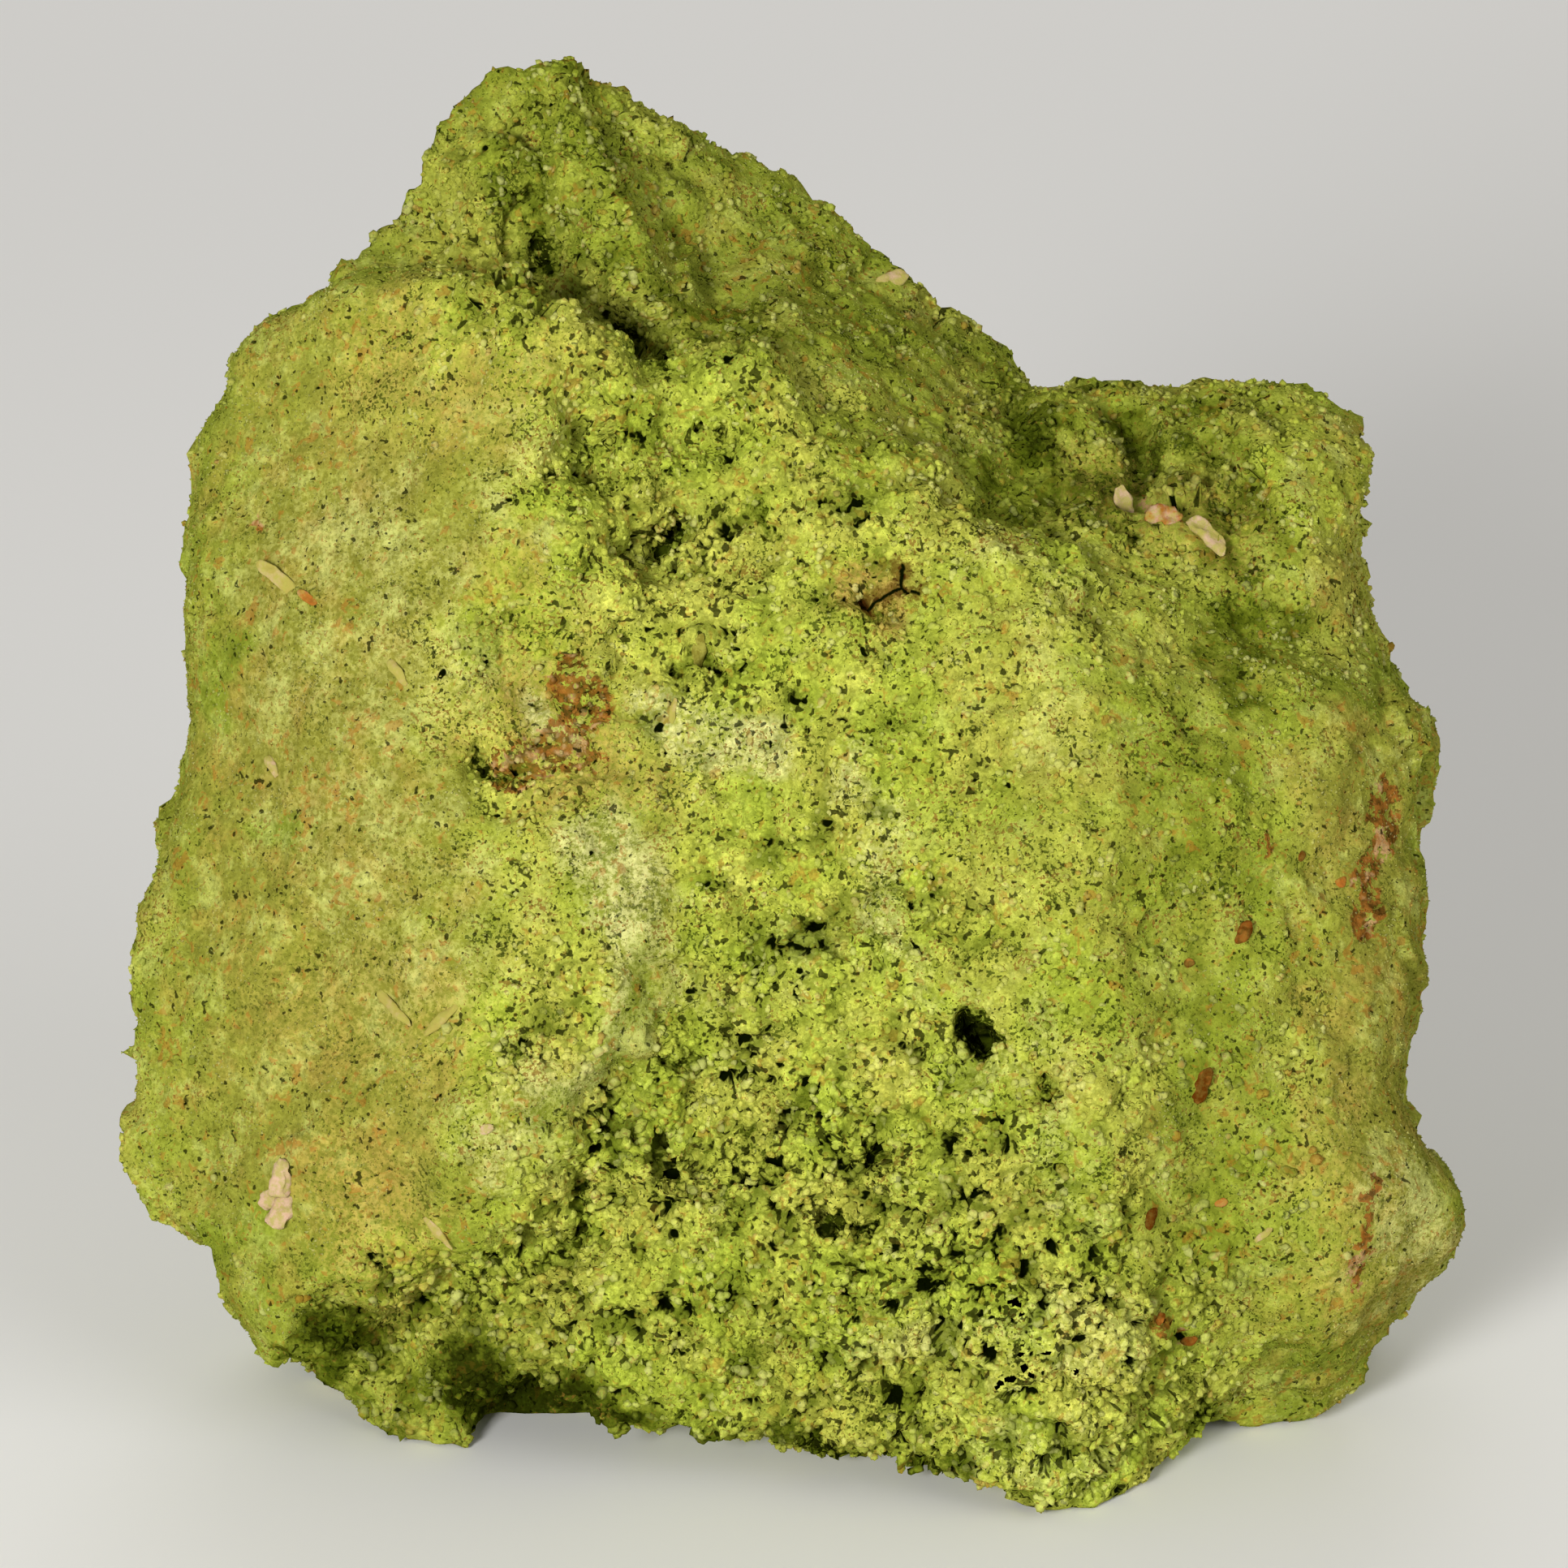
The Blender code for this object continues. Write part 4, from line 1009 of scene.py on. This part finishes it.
def divide_where(obj, values, least):
    """Divides the faces where the value is more than the least, so that they hold finer relief."""
    corners = np.array([polygon.vertices[0] for polygon in obj.data.polygons])
    only_this(obj)
    bpy.ops.object.mode_set(mode="EDIT")
    bpy.ops.mesh.select_mode(type="FACE")
    bpy.ops.mesh.select_all(action="DESELECT")
    bpy.ops.object.mode_set(mode="OBJECT")
    obj.data.polygons.foreach_set("select", values[corners] > least)
    bpy.ops.object.mode_set(mode="EDIT")
    bpy.ops.mesh.subdivide(number_cuts=1)
    bpy.ops.object.mode_set(mode="OBJECT")


def sink_relief(skin):
    """Sinks the small hollows of the show face, with ragged edges, and raises its swellings."""
    points, _ = read(skin)
    shown = value_of(skin, "shown")
    u, v = seen(points)
    stray_u, stray_v = waver(points, *RELIEF_STRAY)
    ragged_u, ragged_v = waver(points, *RAGGED_STRAY)
    u, v = u + stray_u + ragged_u, v + stray_v + ragged_v
    sunk = np.zeros(len(points))
    for brush in SMALL_RELIEF:
        near = 1.0 - away_from_line(u, v, brush.points) / brush.reach
        sunk += brush.value * smooth_step(near, *RELIEF_EDGE) * shown
    write(skin, points + np.outer(sunk, TO_VIEWER))
    keep_value(skin, "sunk", -sunk)


def paint(skin):
    """Paints the skin with the values that its shape and its finish follow."""
    points, outward = read(skin)
    shown = smooth_step(spread_values(skin, outward @ np.array(TO_VIEWER), SPREAD_ROUNDS), -0.2, 0.2)
    keep_value(skin, "shown", shown)
    u, v = seen(points)
    keep_value(skin, "face_u", u)
    keep_value(skin, "face_v", v)
    wide_stray = waver(points, *WIDE_STRAY)
    rust_stray = waver(points, *RUST_STRAY)
    patches = np.array([noise.noise(Vector(p) / CRUMBLY_PATCH_SIZE) for p in points])
    for name, brushes, start in (
        ("crumbly", CRUMBLY, CRUMBLY_START),
        ("broken", BROKEN, BROKEN_START),
        ("dust", DUST_AND_LIGHT, DUST_AND_LIGHT_START),
        ("tan", TAN, TAN_START),
        ("rust", RUST, RUST_START),
        ("green", GREEN_AND_SHADE, GREEN_AND_SHADE_START),
    ):
        stray_u, stray_v = rust_stray if name == "rust" else wide_stray
        values = brushed(u + stray_u, v + stray_v, shown, brushes, start)
        if name == "crumbly":
            values = np.clip(values * (1.0 + CRUMBLY_PATCHES * patches), 0.0, MOST_CRUMBLY)
        keep_value(skin, name, values)


def keep_in_box(obj):
    """Brings any point that strays past the solid's own box back to it."""
    points, _ = read(obj)
    low = np.array(cad_box[0]) / MM + BOX_GAP
    high = np.array(cad_box[1]) / MM - BOX_GAP
    low[2] = 0.0
    write(obj, np.clip(points, low, high))


def add_skin(node):
    """The clay's own surface, from the solid: smoothed, pitted and lumpy, and painted with values."""
    skin = bpy.data.objects.new("clay_skin", node.data.copy())
    bpy.context.scene.collection.objects.link(skin)
    only_this(skin)
    bpy.ops.object.mode_set(mode="EDIT")
    bpy.ops.mesh.select_all(action="SELECT")
    bpy.ops.mesh.remove_doubles(threshold=MERGE_GAP * MM)
    bpy.ops.object.mode_set(mode="OBJECT")
    apply(skin, "REMESH", mode="VOXEL", voxel_size=SKIN_GRAIN * MM)
    apply(skin, "SMOOTH", factor=0.5, iterations=SKIN_SMOOTHING)
    paint(skin)
    divide_where(skin, value_of(skin, "shown"), FINELY_SHOWN)
    divide_where(skin, value_of(skin, "shown") * value_of(skin, "crumbly"), FINEST_CRUMBLY)
    apply(skin, "SMOOTH", factor=0.5, iterations=1)
    sink_relief(skin)
    apply(skin, "NODES", node_group=rough_clay_tree())
    keep_in_box(skin)
    lay_out(skin, all_shown=False)
    skin.data.shade_smooth()
    return skin


def spread_values(obj, values, rounds):
    """Evens out one value over the mesh: each point takes the mean of its own and its neighbours'."""
    edges = np.empty(len(obj.data.edges) * 2, np.int32)
    obj.data.edges.foreach_get("vertices", edges)
    first, second = edges.reshape(-1, 2).T
    count = len(values)
    neighbours = np.bincount(first, minlength=count) + np.bincount(second, minlength=count)
    for _ in range(rounds):
        around = np.bincount(first, values[second], count) + np.bincount(second, values[first], count)
        values = 0.5 * values + 0.5 * around / neighbours
    return values


def value_of(obj, name):
    """The values that the mesh keeps under this name."""
    values = np.empty(len(obj.data.vertices), np.float32)
    obj.data.attributes[name].data.foreach_get("value", values)
    return values


def crumb_shapes(name, count, add_shape):
    """A few crumbs of one millimetre radius, each knocked out of round its own way."""
    shapes = []
    for index in range(count):
        bpy.ops.object.select_all(action="DESELECT")
        add_shape(index)
        crumb = bpy.context.active_object
        crumb.name = f"{name}_{index}"
        points, _ = read(crumb)
        shift = Vector((7.3 * index, 3.1, 5.7 * len(points)))
        knocks = [noise.noise(Vector(p) * 1.1 + shift) for p in points]
        points *= 1.0 + 0.6 * np.array(knocks)[:, None]
        points *= np.array([1.0, 0.85 + 0.1 * (index % 3), 0.75 + 0.12 * (index % 2)])
        write(crumb, points)
        crumb.data.shade_smooth()
        crumb.hide_render = True
        shapes.append(crumb)
    return shapes


def add_grain(index):
    """A blunt grain with nine sides."""
    bpy.ops.mesh.primitive_uv_sphere_add(segments=3, ring_count=3, radius=MM)


def add_speck(index):
    """A sharp grain with four sides."""
    bpy.ops.mesh.primitive_cone_add(vertices=3, radius1=MM, radius2=0.0, depth=1.3 * MM)


def add_clump(index):
    """Two grains that have grown into one clump."""
    grains = []
    for number in range(2):
        bpy.ops.object.select_all(action="DESELECT")
        around = 2.4 * number + 0.7 * index
        height = 0.25 if number == 0 else 0.1 * math.sin(3.1 * number + index)
        out = 0.16 if number == 0 else 0.48
        bpy.ops.mesh.primitive_ico_sphere_add(
            subdivisions=1,
            radius=(0.72 - 0.14 * number) * MM,
            location=(out * MM * math.cos(around), out * MM * math.sin(around), height * MM),
            rotation=(1.3 * number, 0.9 * index, 0.5 * number + index),
        )
        grains.append(bpy.context.active_object)
    join(grains)
    bpy.ops.object.transform_apply()


def strew(name, skin, where, shapes, material):
    """Strews crumbs over the skin where this is more than 0, and joins them in one mesh."""
    crumbs = bpy.data.objects.new(name, skin.data.copy())
    bpy.context.scene.collection.objects.link(crumbs)
    bare = smooth_step(value_of(skin, "pitted"), 0.1, 0.5)
    bare = np.maximum(bare, smooth_step(value_of(skin, "sunk"), 1.3, 1.8))
    keep_value(crumbs, "where", where * (1.0 - bare))
    apply(crumbs, "NODES", node_group=scatter_tree(name, shapes, STREWN[name]))
    keep_in_box(crumbs)
    lay_out(crumbs, all_shown=name != "back_grains")
    finish_piece(crumbs, material)


def sides(points, shown):
    """The number, in MAP_CELLS, of the side of the lump that each point is on."""
    low, high = np.array(cad_box[0]) / MM, np.array(cad_box[1]) / MM
    x, y, z = (2.0 * (points - low) / (high - low) - 1.0).T
    return np.where(shown > 0.4, 0, 1 + np.argmax([y, -x, x, z, -z], axis=0))


def lay_out(obj, all_shown):
    """Gives a piece its own flat map: each side as it is seen, and the shown side the largest."""
    mesh = obj.data
    points, _ = read(obj)
    corners = np.empty(len(mesh.loops), np.int32)
    starts = np.empty(len(mesh.polygons), np.int32)
    counts = np.empty(len(mesh.polygons), np.int32)
    mesh.loops.foreach_get("vertex_index", corners)
    mesh.polygons.foreach_get("loop_start", starts)
    mesh.polygons.foreach_get("loop_total", counts)
    side = np.repeat(sides(points, value_of(obj, "shown"))[corners[starts]], counts)
    if all_shown:
        side[:] = 0
    u, v = seen(points)
    x, y, z = points.T
    looks = [(u, v), (x, z), (y, z), (y, z), (x, y), (x, y)]
    place = np.empty((len(corners), 2))
    for number, (across, up) in enumerate(looks):
        there = side == number
        if not there.any():
            continue
        flat = np.stack((across, up), 1)[corners[there]]
        flat -= flat.min(axis=0)
        left, bottom, size = (0.0, 0.0, 1.0) if all_shown else MAP_CELLS[number]
        flat = MAP_EDGE + (1.0 - 2.0 * MAP_EDGE) * flat / (flat.max(axis=0) if all_shown else flat.max())
        place[there] = np.array([left, bottom]) + size * flat
    layer = mesh.uv_layers.new(name="OFBake", do_init=False)
    layer.uv.foreach_set("vector", place.astype(np.float32).ravel())


def finish_piece(obj, material):
    """Gives a piece its finish, the body that it rides on and its material slot."""
    obj.data.materials.clear()
    obj.data.materials.append(material)
    slots = np.zeros(len(obj.data.polygons), np.int32)
    obj.data.polygons.foreach_set("material_index", slots)
    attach(obj, "root")


def clear_of_chips(u, v):
    """1 where crumbs may lie, and 0 over the chips and the crack."""
    clear = np.ones(len(u))
    for chip in CHIPS:
        turn = math.radians(chip.turn)
        half_u = 0.5 * chip.length * math.cos(turn)
        half_v = 0.5 * chip.length * math.sin(turn)
        ends = [(chip.u - half_u, chip.v - half_v), (chip.u + half_u, chip.v + half_v)]
        clear *= away_from_line(u, v, ends) > 0.5 * chip.width + CHIP_CLEAR
    for end in CRACK_ENDS:
        clear *= away_from_line(u, v, [CRACK_MIDDLE, end]) > CRACK_CLEAR
    return clear


def add_crumbs(skin, material):
    """All the crumbs, zone by zone."""
    points, _ = read(skin)
    u, v = seen(points)
    standing = smooth_step(points[:, 2], 0.2, 0.8)
    shown = value_of(skin, "shown") * standing * clear_of_chips(u, v)
    hidden = (1.0 - value_of(skin, "shown")) * standing
    crumbly = value_of(skin, "crumbly")
    clumps = crumb_shapes("clump", 6, add_clump)
    grains = crumb_shapes("grain", 5, add_grain)
    specks = crumb_shapes("speck", 5, add_speck)
    loose = smooth_step(crumbly, *LOOSE)
    firm = 1.0 - smooth_step(crumbly, *FIRM)
    low = smooth_step(-v, *APRON_BORDER)
    high = smooth_step(v + CREST_FALL * u, *CREST_BORDER)
    middle = (1.0 - low) * (1.0 - high)
    right = u > RIGHT_BORDER
    bed = shown * loose
    zones = (
        ("apron_clumps", clumps, bed * low * ~right),
        ("front_clumps", clumps, bed * low * right),
        ("valley_clumps", clumps, bed * middle * ~right),
        ("flank_clumps", clumps, bed * middle * right),
        ("high_clumps", clumps, shown * high * loose),
        ("dusty_grains", specks, shown * firm),
        ("back_grains", grains, hidden),
    )
    for name, shapes, where in zones:
        strew(name, skin, where, shapes, material)
    for shape in clumps + grains + specks:
        bpy.data.objects.remove(shape)


def add_chip(number, chip):
    """A ragged splinter with cut corners, or a rounded pellet, that lies along x at the origin."""
    bpy.ops.object.select_all(action="DESELECT")
    rounded = chip.warmth > ROUND_CHIP
    if rounded:
        bpy.ops.mesh.primitive_uv_sphere_add(segments=20, ring_count=12, radius=0.5 * MM)
    else:
        bpy.ops.mesh.primitive_cube_add(size=MM)
        bpy.ops.object.mode_set(mode="EDIT")
        bpy.ops.mesh.subdivide(number_cuts=7)
        bpy.ops.object.mode_set(mode="OBJECT")
    piece = bpy.context.active_object
    points, _ = read(piece)
    points /= np.maximum(1.0, np.linalg.norm(points, axis=1, keepdims=True) / CHIP_CORNER)
    points *= np.array([chip.length, chip.width, CHIP_THICKNESS * chip.width])
    shift = Vector((3.7 * number, 1.9, 0.0))
    knocks = np.array([noise.noise_vector(Vector(p) * 1.4 + shift) for p in points])
    rough = np.array([noise.noise_vector(Vector(p) * 3.6 + shift) for p in points])
    along = 0.0 if rounded else points[:, 0:1] / chip.length
    points[:, 1:] *= 0.9 - 0.4 * along - 0.3 * np.abs(along)
    write(piece, points + chip.width * (CHIP_KNOCKS * knocks + CHIP_ROUGHNESS * rough))
    keep_value(piece, "warmth", np.full(len(points), chip.warmth))
    piece.data.shade_smooth()
    return piece


def lay_in(piece, chip, surface):
    """Lays a chip in the surface, where it is seen from the front."""
    eye, way = line_of_sight(chip.u, chip.v)
    place, outward, _, _ = surface.ray_cast(eye * MM, way)
    outward = (outward + TO_VIEWER * CHIP_TURN).normalized()
    right = (ACROSS - outward * ACROSS.dot(outward)).normalized()
    upright = Matrix((right, outward.cross(right), outward)).transposed().to_4x4()
    turn = upright @ Matrix.Rotation(math.radians(chip.turn), 4, "Z")
    middle = place + outward * CHIP_RAISED * (CHIP_THICKNESS * chip.width) * MM
    piece.data.transform(Matrix.Translation(middle) @ turn)


def add_chips(skin, material):
    """All the splinters and pellets, in one mesh."""
    surface = BVHTree.FromObject(skin, bpy.context.evaluated_depsgraph_get())
    pieces = []
    for number, chip in enumerate(CHIPS):
        pieces.append(add_chip(number, chip))
        lay_in(pieces[-1], chip, surface)
    join(pieces)
    splinters = pieces[0]
    splinters.name = "splinters"
    keep_in_box(splinters)
    finish_piece(splinters, material)


# Stage


def add_floor():
    """A plain pale floor, just under the lump."""
    bpy.ops.object.select_all(action="DESELECT")
    bpy.ops.mesh.primitive_plane_add(size=FLOOR_SIZE, location=(0.0, 0.0, -FLOOR_DROP))
    floor = bpy.context.active_object
    floor.name = "pale_floor"
    material = bpy.data.materials.new("pale_floor")
    material.use_nodes = True
    shader = material.node_tree.nodes["Principled BSDF"]
    shader.inputs["Base Color"].default_value = FLOOR_COLOUR
    shader.inputs["Roughness"].default_value = 0.9
    floor.data.materials.append(material)


def add_light(name, right, up, out, size, power):
    """A soft square light, placed in metres from the middle of the face, that looks at it."""
    lamp = bpy.data.lights.new(name, "AREA")
    lamp.size = size
    lamp.energy = power
    light = bpy.data.objects.new(name, lamp)
    middle = FACE_MIDDLE * MM
    light.location = middle + ACROSS * right + UP_FACE * up + TO_VIEWER * out
    light.rotation_euler = (light.location - middle).to_track_quat("Z", "Y").to_euler()
    bpy.context.scene.collection.objects.link(light)


def add_camera():
    """The camera, where the photograph was taken from."""
    camera = bpy.data.cameras.new("camera")
    camera.sensor_width = SENSOR_WIDTH
    camera.lens = SENSOR_WIDTH * VIEW_DISTANCE / PICTURE_WIDTH
    camera.clip_start = 0.01
    camera.clip_end = 20.0
    view = bpy.data.objects.new("camera", camera)
    view.location = (FACE_MIDDLE + TO_VIEWER * VIEW_DISTANCE) * MM
    view.rotation_euler = Euler((math.radians(90.0) - FACE_LEAN, 0.0, 0.0))
    bpy.context.scene.collection.objects.link(view)
    bpy.context.scene.camera = view


def add_world():
    """The soft light of a pale room."""
    world = bpy.data.worlds.new("soft_room")
    world.use_nodes = True
    background = world.node_tree.nodes["Background"]
    background.inputs["Color"].default_value = ROOM_COLOUR
    background.inputs["Strength"].default_value = ROOM_LIGHT
    bpy.context.scene.world = world


groups = {
    "colour": clay_colour_group(),
    "grain": fine_grain_group(),
    "pores": pore_group("ShaderNodeTree"),
    "line": line_group(),
}
skin_clay = clay_material("skin_clay", is_skin=True, groups=groups)
crumb_clay = clay_material("crumb_clay", is_skin=False, groups=groups)
skin = add_skin(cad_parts["nontronite_mass"])
add_crumbs(skin, crumb_clay)
add_chips(skin, chip_material())
finish_piece(skin, skin_clay)
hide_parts("nontronite_mass")

add_floor()
add_light("key_light", right=-0.24, up=-0.02, out=0.62, size=0.16, power=4.4)
add_light("fill_light", right=0.45, up=0.15, out=0.5, size=0.5, power=1.5)
add_light("top_light", right=0.0, up=0.6, out=-0.5, size=0.6, power=1.6)
add_world()
add_camera()
bpy.context.scene.view_settings.view_transform = "Standard"
